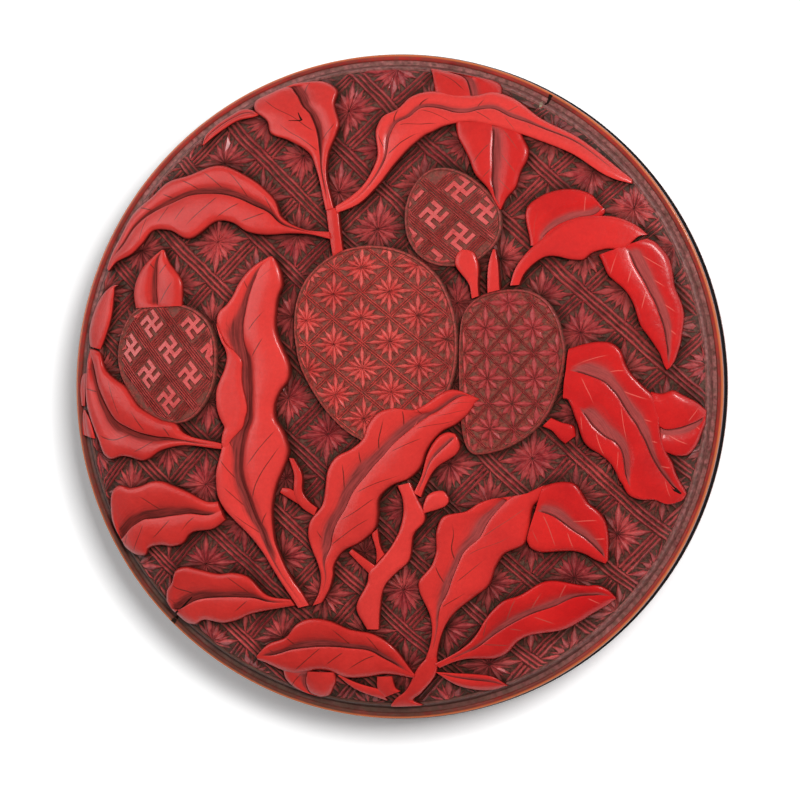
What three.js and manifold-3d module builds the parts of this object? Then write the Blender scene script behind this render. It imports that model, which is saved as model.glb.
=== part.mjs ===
// Round box of carved cinnabar lacquer: a turned wood base and lift-off cover under thick red lacquer.
// Units are millimetres, +Z is up, the foot ring rests on z = 0 and +Y is the top of the picture.
import * as THREE from 'three';
import { mergeVertices } from 'three/addons/utils/BufferGeometryUtils.js';
import Module from 'manifold-3d';

const wasm = await Module();
wasm.setup();

// Driving dimensions
const mouthRadius = 55;
const rimWidth = 2;
const lipOverhang = 1.6;
const lipReach = 2.8;
const seamHeight = 21;
const seamGap = 0.1;
const lipHeight = 1.6;
const lipLanding = 0.5;
const coatThickness = 1.4;
const liningThickness = 0.4;
const coverWallThickness = 1.6;
const coverRise = 10.5;
const reliefHeight = 2.3;
const bellyDepth = 20.3;
const footInset = 18;
const footRingWidth = 2.8;
const footRecess = 1.8;
const footCoatThickness = 0.6;
const flangeThickness = 2;
const flangeUpstand = 2;
const flangeSeat = 4;
const flangeClearance = 0.3;
const interiorDepth = 11.4;
const beadWidth = 1;
const beadInset = 0.1;
const beadHeight = 1;
const collarHeight = 0.5;
const coatFlare = 0.2;
const shoulderHeight = 1.3;
const turnSegments = 40;

// Heights and radii that follow from them
const groundRadius = mouthRadius - rimWidth;
const coreRadius = mouthRadius - lipOverhang;
const flangeRadius = coreRadius - lipReach;
const footRadius = mouthRadius - footInset;
const coverSeam = seamHeight + seamGap;
const coverLedge = coverSeam + lipHeight;
const coverShoulder = coverLedge + shoulderHeight;
const baseLedge = seamHeight - lipHeight;
const baseShoulder = baseLedge - shoulderHeight;
const coreInnerRadius = groundRadius - coatThickness;
const beadOuterRadius = mouthRadius - beadInset;
const beadInnerRadius = beadOuterRadius - beadWidth;
const flangeFloor = seamHeight - flangeSeat;
const flangeInnerRadius = flangeRadius - flangeThickness;
const coverMouthRadius = flangeRadius + flangeClearance;

// A dome is 1 at the axis and 0 at its rim, and q is the radius as a fraction of the rim radius.
const domed = (q) => Math.pow(1 - Math.pow(Math.min(q, 1), 2.4), 0.55);
const bowled = (q) => Math.sqrt(1 - Math.pow(Math.min(q, 1), 3.2));
const domeStations = [1, 0.99, 0.97, 0.93, 0.87, 0.78, 0.65, 0.5, 0.3, 0];

// Points of a dome from its rim to the station nearest the axis, then the last one itself
function curvePoints(shape, radius, shoulder, rise, last = 0) {
  const stations = domeStations.filter((q) => q > last + 0.02);
  return [...stations, last].map((q) => [q * radius, shoulder + rise * shape(q)]);
}

// Merge equal points and drop the triangles that fold up on the axis
function welded(geometry) {
  geometry.deleteAttribute('normal');
  geometry.deleteAttribute('uv');
  const merged = mergeVertices(geometry, 1e-3);
  const corners = merged.index.array;
  const kept = [];
  for (let i = 0; i < corners.length; i += 3) {
    const [a, b, c] = [corners[i], corners[i + 1], corners[i + 2]];
    if (a !== b && b !== c && c !== a) kept.push(a, b, c);
  }
  merged.setIndex(kept);
  return merged;
}

// Turn a profile of [radius, height] points, counterclockwise, about the box axis
function turned(points) {
  const profile = points.map(([radius, height]) => new THREE.Vector2(radius, height));
  const geometry = new THREE.LatheGeometry(profile, turnSegments);
  geometry.rotateX(Math.PI / 2);
  return welded(geometry);
}

// A ring's profile closes on itself
const turnedRing = (points) => turned([...points, points[0]]);

function toSolid(geometry) {
  return new wasm.Manifold(new wasm.Mesh({
    numProp: 3,
    vertProperties: new Float32Array(geometry.attributes.position.array),
    triVerts: new Uint32Array(geometry.index.array),
  }));
}

function fromSolid(solid) {
  const mesh = solid.getMesh();
  const geometry = new THREE.BufferGeometry();
  geometry.setAttribute('position', new THREE.BufferAttribute(mesh.vertProperties, 3));
  geometry.setIndex(Array.from(mesh.triVerts));
  return welded(geometry);
}

// Materials
const lacquer = (color) => new THREE.MeshStandardMaterial({ color, roughness: 0.38, metalness: 0 });
const cinnabar = () => lacquer('#9a2f1e');
const wornCinnabar = () => lacquer('#8a3022');
const blackLacquer = () => lacquer('#17120f');
const wood = () => new THREE.MeshStandardMaterial({ color: '#8d6a42', roughness: 0.75, metalness: 0 });

const group = new THREE.Group();
group.name = 'cinnabar_lacquer_round_box';

function place(name, geometry, material) {
  const mesh = new THREE.Mesh(geometry, material);
  mesh.name = name;
  geometry.computeVertexNormals();
  group.add(mesh);
}

// Cover curves, from the rim to the axis
const coverOutside = curvePoints(domed, groundRadius, coverShoulder, coverRise);
const coverCoatInside = curvePoints(
  domed, coreInnerRadius, coverShoulder, coverRise - coatThickness);
const coverCoreInside = curvePoints(
  domed, coreInnerRadius - coverWallThickness, coverShoulder,
  coverRise - coatThickness - coverWallThickness);
const coverLiningInside = curvePoints(
  domed, coreInnerRadius - coverWallThickness - liningThickness, coverShoulder,
  coverRise - coatThickness - coverWallThickness - liningThickness);

// Base curves: the belly hangs down from the shoulder to the foot
const footQ = footRadius / groundRadius;
const footInnerRadius = footRadius - 1.2;
const baseOutside = curvePoints(domed, groundRadius, baseShoulder, -bellyDepth, footQ);
const baseCoatInside = curvePoints(
  domed, coreInnerRadius, baseShoulder, coatThickness - bellyDepth, footInnerRadius / coreInnerRadius);
const baseInside = curvePoints(bowled, flangeInnerRadius, flangeFloor, -interiorDepth);
const baseCoreInside = curvePoints(
  bowled, flangeInnerRadius + liningThickness, flangeFloor, -interiorDepth - liningThickness);

// Height of the bare carved ground above the table
const groundHeight = (x, y) => {
  const q = Math.hypot(x, y) / groundRadius;
  return coverShoulder + coverRise * domed(q);
};

// Height of a relief point: level 0 is the ground and level 1 the uncut face of the lacquer
const reliefPoint = (x, y, level) => {
  const q = Math.hypot(x, y) / (groundRadius + 1);
  const face = coverShoulder + 0.2 + (coverRise + reliefHeight - 0.2) * domed(q);
  const ground = groundHeight(x, y);
  return [x, y, ground + level * (face - ground)];
};
const rootDepth = 0.8;
const rootPoint = (x, y) => [x, y, groundHeight(x, y) - rootDepth];

// A closed solid through sections that have equal numbers of points
function lofted(sections) {
  const count = sections[0].length;
  const corners = [];
  sections.slice(1).forEach((section, j) => {
    const from = j * count;
    const to = from + count;
    for (let i = 0; i < count; i += 1) {
      const next = (i + 1) % count;
      corners.push(from + i, from + next, to + next);
      corners.push(from + i, to + next, to + i);
    }
  });
  const end = (sections.length - 1) * count;
  for (let i = 1; i < count - 1; i += 1) {
    corners.push(0, i + 1, i);
    corners.push(end, end + i, end + i + 1);
  }
  const geometry = new THREE.BufferGeometry();
  const positions = new Float32Array(sections.flat(2));
  geometry.setAttribute('position', new THREE.BufferAttribute(positions, 3));
  geometry.setIndex(corners);
  return geometry;
}

// Cross-section of a leaf. The half on its crisp side ends in an edge that steps down to the valley,
// and the other half slopes up out of the valley. A plain stem is only rounded.
const drawnRadius = 53;
const reliefScale = groundRadius / drawnRadius;
const creaseWidth = 0.4;
const valleyDepth = 0.55;
function bladeSection([leftX, leftY, rightX, rightY, fold], level, crisp) {
  const across = (t) => [
    reliefScale * (leftX + t * (rightX - leftX)),
    reliefScale * (leftY + t * (rightY - leftY)),
  ];
  const at = (t, height) => reliefPoint(...across(t), height * level);
  const width = Math.hypot(rightX - leftX, rightY - leftY);
  const valley = at(fold, 1 - valleyDepth * Math.min(1, width / 4));
  const step = Math.min(creaseWidth / width, fold / 2, (1 - fold) / 2);
  const middle = {
    left: [at(fold - step, 1), valley],
    right: [valley, at(fold + step, 1)],
    none: [at(0.5, 1)],
  }[crisp];
  return [rootPoint(...across(0)), at(0, 0.8), ...middle, at(1, 0.8), rootPoint(...across(1))];
}

const blade = ({ rows, level, crisp }) => lofted(rows.map((row) => bladeSection(row, level, crisp)));

// Low rounded cap of a fruit, an oval with its own tilt and squareness
function fruit({ x, y, wide, up, down, square, tilt }) {
  const rings = [[1, 0.3], [0.97, 0.55], [0.8, 0.82], [0.5, 0.9]];
  const positions = [];
  const corners = [];
  const rim = 24;
  const outline = (i, size) => {
    const angle = (2 * Math.PI * i) / rim;
    const [c, s] = [Math.cos(angle), Math.sin(angle)];
    const u = size * wide * Math.sign(c) * Math.pow(Math.abs(c), 2 / square);
    const v = size * (s > 0 ? up : down) * Math.sign(s) * Math.pow(Math.abs(s), 2 / square);
    return [
      reliefScale * (x + u * Math.cos(tilt) - v * Math.sin(tilt)),
      reliefScale * (y + u * Math.sin(tilt) + v * Math.cos(tilt)),
    ];
  };
  for (let i = 0; i < rim; i += 1) positions.push(...rootPoint(...outline(i, 1)));
  rings.forEach(([size, level]) => {
    for (let i = 0; i < rim; i += 1) positions.push(...reliefPoint(...outline(i, size), level));
  });
  const middle = outline(0, 0);
  positions.push(...rootPoint(...middle), ...reliefPoint(...middle, 0.92));
  const bottom = rim * (rings.length + 1);
  for (let i = 0; i < rim; i += 1) {
    const next = (i + 1) % rim;
    for (let j = 0; j < rings.length; j += 1) {
      const [low, high] = [j * rim, (j + 1) * rim];
      corners.push(low + i, low + next, high + next, low + i, high + next, high + i);
    }
    corners.push(bottom, next, i);
    corners.push(bottom + 1, rim * rings.length + i, rim * rings.length + next);
  }
  const geometry = new THREE.BufferGeometry();
  geometry.setAttribute('position', new THREE.BufferAttribute(new Float32Array(positions), 3));
  geometry.setIndex(corners);
  return geometry;
}

// The four lychees
const fruits = [
  { x: -0.7, y: 7.4, wide: 13.6, up: 15.7, down: 16.5, square: 2, tilt: 0 },
  { x: 22.3, y: 2.4, wide: 8.6, up: 13.5, down: 13.5, square: 2.5, tilt: -0.14 },
  { x: 12.1, y: 27.5, wide: 7.8, up: 8.1, down: 8.1, square: 2, tilt: 0 },
  { x: -37.4, y: 3.9, wide: 8.4, up: 10, down: 10, square: 2, tilt: 0 },
];

// Leaves, stems and branches, drawn on a ground of drawnRadius. Each row crosses a piece from its left
// edge to its right edge as seen from its stem: left x, left y, right x, right y, and where the fold lies.
const blades = [
  // Eleven o'clock leaf
  { crisp: 'left', level: 1, rows: [
    [-9.2, 28.9, -7.9, 29.2, 0.5], [-11.1, 35.7, -9.4, 35.7, 0.5], [-12.3, 38.1, -9.2, 38.3, 0.55],
    [-16.3, 40.5, -8.1, 41.6, 0.62], [-19.6, 41.8, -7.8, 43.4, 0.66], [-20.4, 43.7, -8.5, 45.2, 0.64],
    [-23.1, 45.9, -8.9, 46.9, 0.6], [-23.2, 47.4, -8.7, 48.8, 0.52], [-21.5, 48.2, -10.4, 50.1, 0.45],
    [-20.1, 48.8, -15.7, 50.4, 0.5],
  ] },
  // Long ten o'clock leaf
  { crisp: 'left', level: 1, rows: [
    [-8.2, 24.1, -8.5, 25.3, 0.5], [-11.7, 24.9, -12.9, 25.8, 0.5], [-15.4, 25.1, -16.7, 27.8, 0.45],
    [-19.5, 24.9, -18.1, 30.6, 0.6], [-22.5, 25.4, -20.6, 33, 0.56], [-25.4, 27, -24.3, 35.2, 0.5],
    [-27.9, 27.3, -27.7, 36.5, 0.48], [-33.4, 24.4, -34.2, 34.9, 0.66],
    [-36.6, 25.8, -37.9, 33.9, 0.52], [-39.6, 25.9, -40.5, 31.7, 0.5],
    [-41.9, 23.6, -44.3, 28.7, 0.57], [-44.3, 21.7, -46.6, 24.7, 0.55],
    [-46.6, 20.8, -47.7, 22.7, 0.5], [-48.1, 19.3, -48.7, 19.7, 0.5],
  ] },
  // Long one o'clock leaf
  { crisp: 'right', level: 1, rows: [
    [-7.5, 29.5, -7.2, 28.4, 0.5], [-4.8, 31.3, -3.8, 29.8, 0.5], [-2.3, 34, -0.3, 33.2, 0.5],
    [-0.9, 37.5, 1.9, 36.2, 0.5], [-1.3, 42.5, 5.1, 39.7, 0.4], [-0.4, 44.3, 6.7, 41, 0.36],
    [1.9, 45.5, 8.1, 41.7, 0.36], [4.1, 47.6, 9.7, 42.5, 0.38], [6.6, 48.4, 11.1, 42.9, 0.52],
    [9.4, 48.3, 12.7, 43.2, 0.68], [12.3, 47.8, 14.6, 43.2, 0.65], [14.6, 47.7, 16.4, 42.9, 0.51],
    [17.3, 48.3, 18.3, 42.5, 0.5], [20.1, 47.5, 20.7, 41.8, 0.59], [25.5, 43.8, 25.3, 40.2, 0.41],
    [31.3, 40.8, 30.5, 38.1, 0.3], [38.7, 35.1, 38, 33.7, 0.3], [40.3, 33.8, 40.3, 33.1, 0.3],
  ] },
  // Tip behind the one o'clock leaf
  { crisp: 'left', level: 0.7, rows: [
    [8.2, 46.9, 18.8, 46.9, 0.55], [7.2, 50.5, 18.1, 49.6, 0.52], [6.4, 52.4, 11.4, 51.5, 0.6],
  ] },
  // Leaf that hangs over the small lychee
  { crisp: 'right', level: 0.8, rows: [
    [22.4, 43, 11.6, 43.3, 0.43], [22.7, 41, 12.2, 40.9, 0.45], [23.9, 38.5, 13.4, 38.8, 0.56],
    [23.7, 36.9, 14.4, 36.9, 0.6], [22.9, 35.2, 15.2, 35, 0.61], [21.9, 32.1, 17.7, 32.1, 0.8],
    [20.8, 30.8, 18.5, 30.7, 0.8], [19.9, 28.8, 19.7, 28.8, 0.5],
  ] },
  // Leaf end behind the two o'clock leaf
  { crisp: 'none', level: 0.7, rows: [
    [24.8, 22.9, 26.8, 22.9, 0.8], [24.3, 29.6, 31.5, 26.3, 0.8], [25.6, 30.7, 32.8, 26.8, 0.8],
    [32.8, 31.9, 35.9, 27.7, 0.8], [34.2, 31.3, 36.3, 28.1, 0.8], [35.3, 30.1, 36.5, 28.7, 0.8],
  ] },
  // Two o'clock leaf, turned-up half
  { crisp: 'none', level: 1, rows: [
    [21.7, 16.4, 23.2, 16.5, 0.5], [22.4, 18.8, 23.9, 18.2, 0.5], [24.8, 22.3, 26.7, 20.8, 0.5],
    [28.3, 25.2, 29.3, 21.1, 0.5], [30.3, 26.7, 31.4, 20.6, 0.5], [32.8, 27.6, 33.4, 20.6, 0.5],
    [35.5, 27.8, 34.8, 21.7, 0.5], [37.7, 27.7, 36.8, 22.3, 0.5], [41.5, 26.2, 40.1, 22.6, 0.5],
    [43.3, 24.7, 41.8, 24.5, 0.5],
  ] },
  // Two o'clock leaf, lower half
  { crisp: 'right', level: 0.8, rows: [
    [43.8, 24.7, 35.5, 22.4, 0.49], [46.4, 21.4, 36.4, 19.5, 0.52], [46.9, 19.6, 37.6, 17.6, 0.51],
    [48, 15.9, 40.4, 15.1, 0.5], [49.1, 12.2, 41.9, 11.9, 0.49], [49, 10.1, 42.6, 10.1, 0.44],
    [48.4, 5.9, 45.8, 6.1, 0.5], [47.4, 3.1, 46.7, 2.6, 0.5],
  ] },
  // Four o'clock leaf
  { crisp: 'right', level: 1, rows: [
    [31.6, 6.4, 30.6, -0.8, 0.5], [36.6, 7.4, 32, -4.5, 0.47], [38.6, 6.5, 32.7, -6.9, 0.4],
    [39.9, 4.8, 34.1, -9.6, 0.38], [40.7, 2.7, 36.1, -11.2, 0.35], [42.2, 0.6, 37.9, -12.7, 0.36],
    [44.2, -1.1, 38.9, -14.3, 0.39], [45.5, -3.6, 39.6, -16.1, 0.38], [45.7, -6.4, 40.5, -17.2, 0.37],
    [45.8, -9.1, 41.8, -18.2, 0.33], [47.4, -12, 43.8, -18.4, 0.35], [48.2, -14.7, 45.2, -18.9, 0.3],
    [49.4, -17.3, 48.1, -18.7, 0.4],
  ] },
  // Leaf end at the right rim
  { crisp: 'left', level: 0.7, rows: [
    [44.2, -0.8, 45, -11.2, 0.45], [45.8, -1.1, 46.4, -10.8, 0.59], [47.6, -0.6, 47.9, -11.3, 0.58],
    [49.1, -1.4, 49.6, -11.2, 0.51], [50.6, -2.2, 50.6, -10.2, 0.46], [52.5, -3.9, 52.3, -6.1, 0.42],
  ] },
  // Five o'clock leaf
  { crisp: 'right', level: 0.8, rows: [
    [6.4, -45.1, 8.5, -44.5, 0.5], [7.6, -42.4, 9, -42.4, 0.5], [8.1, -39.5, 10.1, -39.5, 0.5],
    [7.9, -37.7, 11.1, -37.9, 0.45], [6.2, -33.2, 15.5, -34.2, 0.52], [6.2, -31.9, 17.4, -32.8, 0.48],
    [8.5, -29, 19.1, -29.2, 0.42], [9.2, -27.1, 20.2, -27.5, 0.42], [9.4, -23.4, 23.8, -25.5, 0.51],
    [10.3, -21.4, 24.5, -23.5, 0.53], [14.5, -20.2, 25.3, -19.5, 0.5],
    [16.8, -18.8, 26.5, -18.2, 0.45], [19.7, -18.2, 27.1, -17, 0.35], [22.2, -18.7, 27.2, -16.1, 0.1],
    [24.8, -17.1, 27.1, -16.1, 0.1],
  ] },
  // Five o'clock leaf, folded tip
  { crisp: 'right', level: 1, rows: [
    [27.1, -16.1, 24.2, -25.2, 0.45], [29.4, -15.5, 24.7, -26.2, 0.47], [31.7, -15.6, 26, -26.9, 0.5],
    [34.4, -19.1, 29.9, -26.8, 0.57], [35.9, -20.4, 31.9, -26.8, 0.64],
    [36.8, -21.9, 33.5, -27.3, 0.68], [37.2, -24, 34.8, -28.1, 0.66], [37, -28.2, 36.6, -28.8, 0.5],
  ] },
  // Low five o'clock leaf
  { crisp: 'right', level: 1, rows: [
    [8.2, -45.4, 9, -46.1, 0.5], [10.5, -44.3, 11.1, -45.2, 0.5], [12.7, -43, 13.3, -44.6, 0.5],
    [15.7, -40, 18.4, -44.4, 0.4], [16.8, -38.2, 20.2, -43.5, 0.45], [18.3, -36.4, 21.8, -41.8, 0.55],
    [20.1, -34.9, 23.5, -40.8, 0.58], [22.5, -34.1, 25.3, -40.4, 0.52],
    [26.9, -31.7, 29.4, -39.7, 0.52], [33.5, -32.4, 35, -36.5, 0.4], [35.3, -32.4, 36.5, -35.6, 0.5],
    [36.8, -33.2, 37.4, -34.9, 0.6], [37.8, -34.4, 37.8, -34.7, 0.5],
  ] },
  // Small leaf at the lower rim
  { crisp: 'right', level: 0.8, rows: [
    [8.3, -46.8, 8.5, -47.1, 0.4], [11.9, -47, 11.4, -49, 0.4], [14.2, -47.1, 13.2, -49.6, 0.4],
    [17.8, -47.8, 17.2, -49.8, 0.4], [19.5, -49.1, 19.3, -49.1, 0.4],
  ] },
  // Six o'clock leaf
  { crisp: 'left', level: 1, rows: [
    [4.6, -47.8, 4.7, -47.2, 0.5], [-0.9, -47.3, 0.7, -42, 0.5], [-2.9, -47.7, -1.4, -40.7, 0.59],
    [-6.9, -47.9, -5.7, -39.8, 0.61], [-10.1, -46.8, -9.3, -38.4, 0.48],
    [-11.9, -46.7, -11.2, -38.1, 0.45], [-14, -47.1, -13.2, -38.3, 0.46],
    [-15.9, -47.4, -14.9, -39.2, 0.5], [-17.8, -47, -16.6, -41.1, 0.55],
    [-20.9, -45.7, -20.4, -42.7, 0.4], [-22.3, -45.1, -22.3, -44.5, 0.5],
  ] },
  // Leaf across the large lychee
  { crisp: 'right', level: 1, rows: [
    [-11.8, -36, -10.1, -35.4, 0.5], [-10.5, -33.6, -8.8, -33.2, 0.5],
    [-10.1, -31.2, -8.1, -31.1, 0.5], [-10.6, -29, -7.9, -29.3, 0.5],
    [-11.5, -26.7, -6.5, -27.2, 0.55], [-12.1, -24, -3, -25.3, 0.4], [-11.6, -21.9, -0.8, -23.3, 0.35],
    [-9.6, -19.4, -0.2, -20.9, 0.33], [-9, -16.7, 0, -18.3, 0.44], [-8.6, -13.9, 2, -16.3, 0.47],
    [-7.1, -11.5, 5.1, -15, 0.4], [-4.4, -10.1, 7.1, -13, 0.36], [-2.5, -8.4, 8, -10.5, 0.36],
    [-1.8, -6.4, 9.2, -8.7, 0.42], [-0.1, -4.3, 10.8, -7.2, 0.46], [2.5, -3.5, 12.7, -6.3, 0.45],
    [5.6, -3.8, 14.4, -5, 0.42], [12.8, -0.5, 16.3, -2.5, 0.5], [16.7, -1.9, 16.8, -2.1, 0.5],
  ] },
  // Upright leaf left of the large lychee
  { crisp: 'right', level: 1, rows: [
    [-13.7, -36.7, -11.9, -36.4, 0.5], [-15.4, -33.9, -14, -34.3, 0.5],
    [-17.2, -31.3, -15.6, -31.5, 0.5], [-21.1, -26.2, -17.7, -25.7, 0.63],
    [-23.2, -23.9, -18.2, -23.3, 0.62], [-27.1, -19.9, -18, -18.8, 0.47],
    [-27.9, -18, -17.5, -17, 0.42], [-27.9, -16.1, -16.7, -15.3, 0.36],
    [-27, -12.3, -15.3, -11.6, 0.2], [-23.7, -8.6, -15.1, -10.5, 0.15],
    [-22.6, -6.2, -16.7, -6.5, 0.3], [-22.1, -3.6, -17.6, -3.4, 0.5], [-22.1, -0.8, -16.8, -0.6, 0.42],
    [-22, 1.8, -14.9, 2, 0.31], [-22.2, 4.1, -15.2, 4.1, 0.25], [-22.9, 9.3, -17.5, 9.5, 0.15],
    [-22.4, 14.4, -17, 14.4, 0.23], [-21.6, 17, -16.4, 16.9, 0.24], [-20.6, 19.2, -16.7, 18.6, 0.25],
    [-19.4, 21, -17.4, 20.2, 0.3], [-18.5, 21.4, -18.1, 21.1, 0.5],
  ] },
  // Underside of the upright leaf
  { crisp: 'none', level: 0.75, rows: [
    [-19.7, 20.6, -20, 20.8, 0.5], [-20.4, 19.7, -21.9, 19.6, 0.5], [-21.7, 17.5, -23.8, 17.5, 0.5],
    [-23.7, 10.5, -27.7, 10.8, 0.5], [-25.9, 8.8, -27.1, 8.9, 0.5], [-25.3, 7.2, -26.3, 7.2, 0.5],
    [-23.5, 5.6, -25.8, 5.3, 0.5], [-22.7, 3.6, -25.8, 3.2, 0.5], [-23.2, 0.6, -27.1, 0.5, 0.5],
    [-22.3, -2.2, -27.7, -2.2, 0.5], [-22.2, -4.6, -27.4, -4.6, 0.5], [-23.4, -6.7, -26.7, -6.6, 0.5],
    [-25.1, -8.8, -26.4, -9, 0.5], [-25.8, -10.8, -26.4, -10.8, 0.5],
  ] },
  // Nine o'clock leaf
  { crisp: 'right', level: 1, rows: [
    [-26.7, -10.3, -26.7, -9.4, 0.5], [-35.1, -9.9, -33.8, -7.4, 0.5], [-37.7, -10.6, -35, -6.1, 0.5],
    [-39.8, -11.9, -37.6, -5.5, 0.58], [-41.4, -12.3, -39.9, -4.4, 0.57],
    [-43.3, -11.8, -41.8, -3.2, 0.53], [-45.2, -11.6, -43.2, -1.4, 0.5],
    [-47.4, -12.1, -44.5, 0.2, 0.53], [-48.6, -11.4, -45.8, 1, 0.57], [-49.5, -9.4, -47.4, 2.1, 0.61],
    [-52.3, -1.8, -49.5, 5.8, 0.68], [-52.1, 3.2, -51.3, 6.3, 0.8],
  ] },
  // Nine o'clock leaf, curled tip
  { crisp: 'none', level: 0.75, rows: [
    [-51.6, 6.7, -49.3, 6.2, 0.5], [-52, 8.2, -48.7, 7.5, 0.5], [-51.3, 12, -47.3, 11.5, 0.5],
    [-49.2, 15.4, -46.9, 15.3, 0.5], [-47.7, 16.5, -46.7, 16.6, 0.5], [-46.8, 16.9, -46, 16.8, 0.5],
  ] },
  // Nine o'clock leaf, far edge
  { crisp: 'none', level: 0.7, rows: [
    [-51.4, 2, -52.4, 1.9, 0.5], [-51.9, -0.4, -52.7, -0.4, 0.5], [-51.8, -2.3, -52.6, -2.4, 0.5],
    [-50.3, -7.5, -52.3, -7.6, 0.5], [-50.2, -8.9, -52.1, -8.6, 0.5],
  ] },
  // Eight o'clock leaf
  { crisp: 'left', level: 1, rows: [
    [-26.4, -22, -27.7, -18.9, 0.5], [-28.3, -23.3, -29.3, -19, 0.5],
    [-32.9, -24.4, -33.4, -17.2, 0.47], [-34.2, -25.9, -35.5, -16.4, 0.49],
    [-36.2, -26.5, -37.5, -15.7, 0.46], [-38.5, -26.3, -39.6, -15.7, 0.42],
    [-40.8, -26.9, -41.8, -16.5, 0.46], [-41.5, -28, -43.7, -16.8, 0.47],
    [-43.5, -28, -45.9, -16.4, 0.35], [-45.3, -27.1, -47.4, -17.5, 0.2],
    [-45.8, -26.3, -47.9, -20.3, 0.15], [-46.1, -25.8, -47.8, -22.5, 0.15],
    [-46.6, -24.9, -47.3, -23.5, 0.2],
  ] },
  // Low eight o'clock leaf
  { crisp: 'left', level: 0.95, rows: [
    [-14.8, -36, -15.5, -35, 0.5], [-19.3, -36.8, -19.7, -34.3, 0.55],
    [-23.2, -37.7, -23.3, -31.1, 0.44], [-25, -38.5, -25.5, -30.7, 0.48],
    [-27.4, -39.1, -27.8, -30.9, 0.52], [-31.9, -38.8, -32.2, -30.1, 0.4],
    [-33.2, -39.5, -34.2, -29.8, 0.37], [-34.9, -39.3, -36, -30.5, 0.29],
    [-36.2, -38.4, -36.9, -32.5, 0.22], [-36.9, -37.8, -38, -33.8, 0.2],
    [-37.3, -37.4, -38.4, -35.5, 0.2],
  ] },
  // Leaf behind the left lychee
  { crisp: 'right', level: 0.7, rows: [
    [-42.3, 12.2, -34.1, 12.4, 0.52], [-43.1, 15.5, -34, 15.9, 0.5], [-42.9, 16.9, -34.1, 17.2, 0.49],
    [-40.8, 20.6, -36.7, 20.7, 0.54], [-38.1, 22.6, -37.6, 22.6, 0.5],
  ] },
  // Small leaf at the upper left rim
  { crisp: 'right', level: 0.7, rows: [
    [-32, 40.2, -31.8, 40, 0.5], [-31.7, 41.7, -30.5, 41.1, 0.5], [-30.6, 43, -29, 42.2, 0.5],
    [-27.4, 45.1, -25.7, 44.1, 0.5], [-25.7, 46, -24.1, 44.4, 0.5], [-23.6, 45.8, -22.9, 44.6, 0.5],
    [-22.4, 45.2, -22.2, 44.9, 0.5],
  ] },
  // Tip below the six o'clock leaf
  { crisp: 'left', level: 0.75, rows: [
    [-9, -47.1, -18.1, -46.9, 0.5], [-8.9, -48.4, -17.9, -48.3, 0.57],
    [-9.6, -49.8, -16.7, -49.7, 0.62], [-10.4, -50.9, -15.3, -50.5, 0.66],
    [-12, -51.4, -12.5, -51.3, 0.5],
  ] },
  // Leaf of the middle twig
  { crisp: 'right', level: 0.8, rows: [
    [5.8, -17.3, 7, -18, 0.5], [7, -15, 7.9, -15.9, 0.5], [8.2, -10.8, 10, -12.9, 0.5],
    [9.1, -9.1, 11.8, -11.8, 0.5], [10.4, -7.8, 13.1, -10.7, 0.5], [11.8, -7.4, 13.5, -9.4, 0.5],
    [12.7, -7.7, 13.2, -8.5, 0.5],
  ] },
  // Second leaf of the middle twig
  { crisp: 'none', level: 0.75, rows: [
    [7.4, -19.2, 7.4, -20.7, 0.5], [8, -17.8, 8.8, -20.3, 0.5], [9.6, -17, 10.1, -19.9, 0.5],
    [10.8, -17.1, 11.1, -19.4, 0.5], [11.5, -18, 11.5, -18.8, 0.5],
  ] },
  // Sepal above the right lychee
  { crisp: 'none', level: 0.95, rows: [
    [15.5, 14.3, 16.6, 14.7, 0.5], [15.2, 16.2, 16.5, 16.3, 0.5], [12.6, 20.5, 16.2, 20.8, 0.5],
    [12.9, 21.6, 15.7, 21.8, 0.5], [13.7, 22.3, 14.9, 22.2, 0.5],
  ] },
  // Second sepal above the right lychee
  { crisp: 'none', level: 0.95, rows: [
    [18, 15.2, 20, 15.7, 0.5], [18.2, 19.9, 19.7, 20.1, 0.5], [18.8, 22.3, 19.2, 22.3, 0.5],
  ] },
  // Sepal below the right lychee
  { crisp: 'none', level: 0.7, rows: [
    [28.4, -5.1, 27, -6.5, 0.5], [30, -5.8, 28.4, -7.1, 0.5], [32, -6.5, 29.7, -8.6, 0.5],
    [32.3, -8, 30.6, -9.3, 0.5],
  ] },
  // Tendril left of the middle leaf
  { crisp: 'none', level: 0.75, rows: [
    [-11, -21.2, -10.5, -19.9, 0.5], [-13, -19.9, -12, -18.7, 0.5], [-14.1, -18.6, -12.8, -17.6, 0.5],
    [-14.4, -14.1, -13.1, -14.1, 0.5], [-15.2, -11.7, -14.4, -11.8, 0.5],
  ] },
  // Fork of that tendril
  { crisp: 'none', level: 0.7, rows: [
    [-13.5, -19.4, -13.5, -18, 0.5], [-15.2, -18.4, -14.9, -16.8, 0.5],
    [-16.8, -17.4, -16.4, -16.6, 0.5],
  ] },
  // Middle branch
  { crisp: 'none', level: 0.85, rows: [
    [-2.8, -39.8, -0.8, -39.8, 0.5], [-4.4, -36.5, -0.4, -36.3, 0.5], [-2.3, -31.9, 0.9, -32.1, 0.5],
    [-2, -30.3, 2.6, -30.4, 0.5], [-0.9, -29.2, 4.5, -28.8, 0.5], [2.1, -25.7, 5.8, -23.9, 0.5],
    [3.3, -23.4, 7.4, -22.1, 0.5], [4, -20.4, 7.4, -20.3, 0.5], [3.9, -18.3, 6.5, -18.5, 0.5],
    [3.1, -16.2, 5.2, -15.7, 0.5],
  ] },
  // Left twig of the middle branch
  { crisp: 'none', level: 0.75, rows: [
    [-1.8, -30.8, -0.8, -29.4, 0.5], [-5.3, -27.2, -4.7, -26.6, 0.5],
  ] },
  // Second twig of the middle branch
  { crisp: 'none', level: 0.75, rows: [
    [-0.8, -29, 0.7, -27.4, 0.5], [-0.6, -27.4, 0.2, -26.5, 0.5], [-1.4, -24.1, -0.4, -23.3, 0.5],
  ] },
  // Main branch at the lower rim
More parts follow.
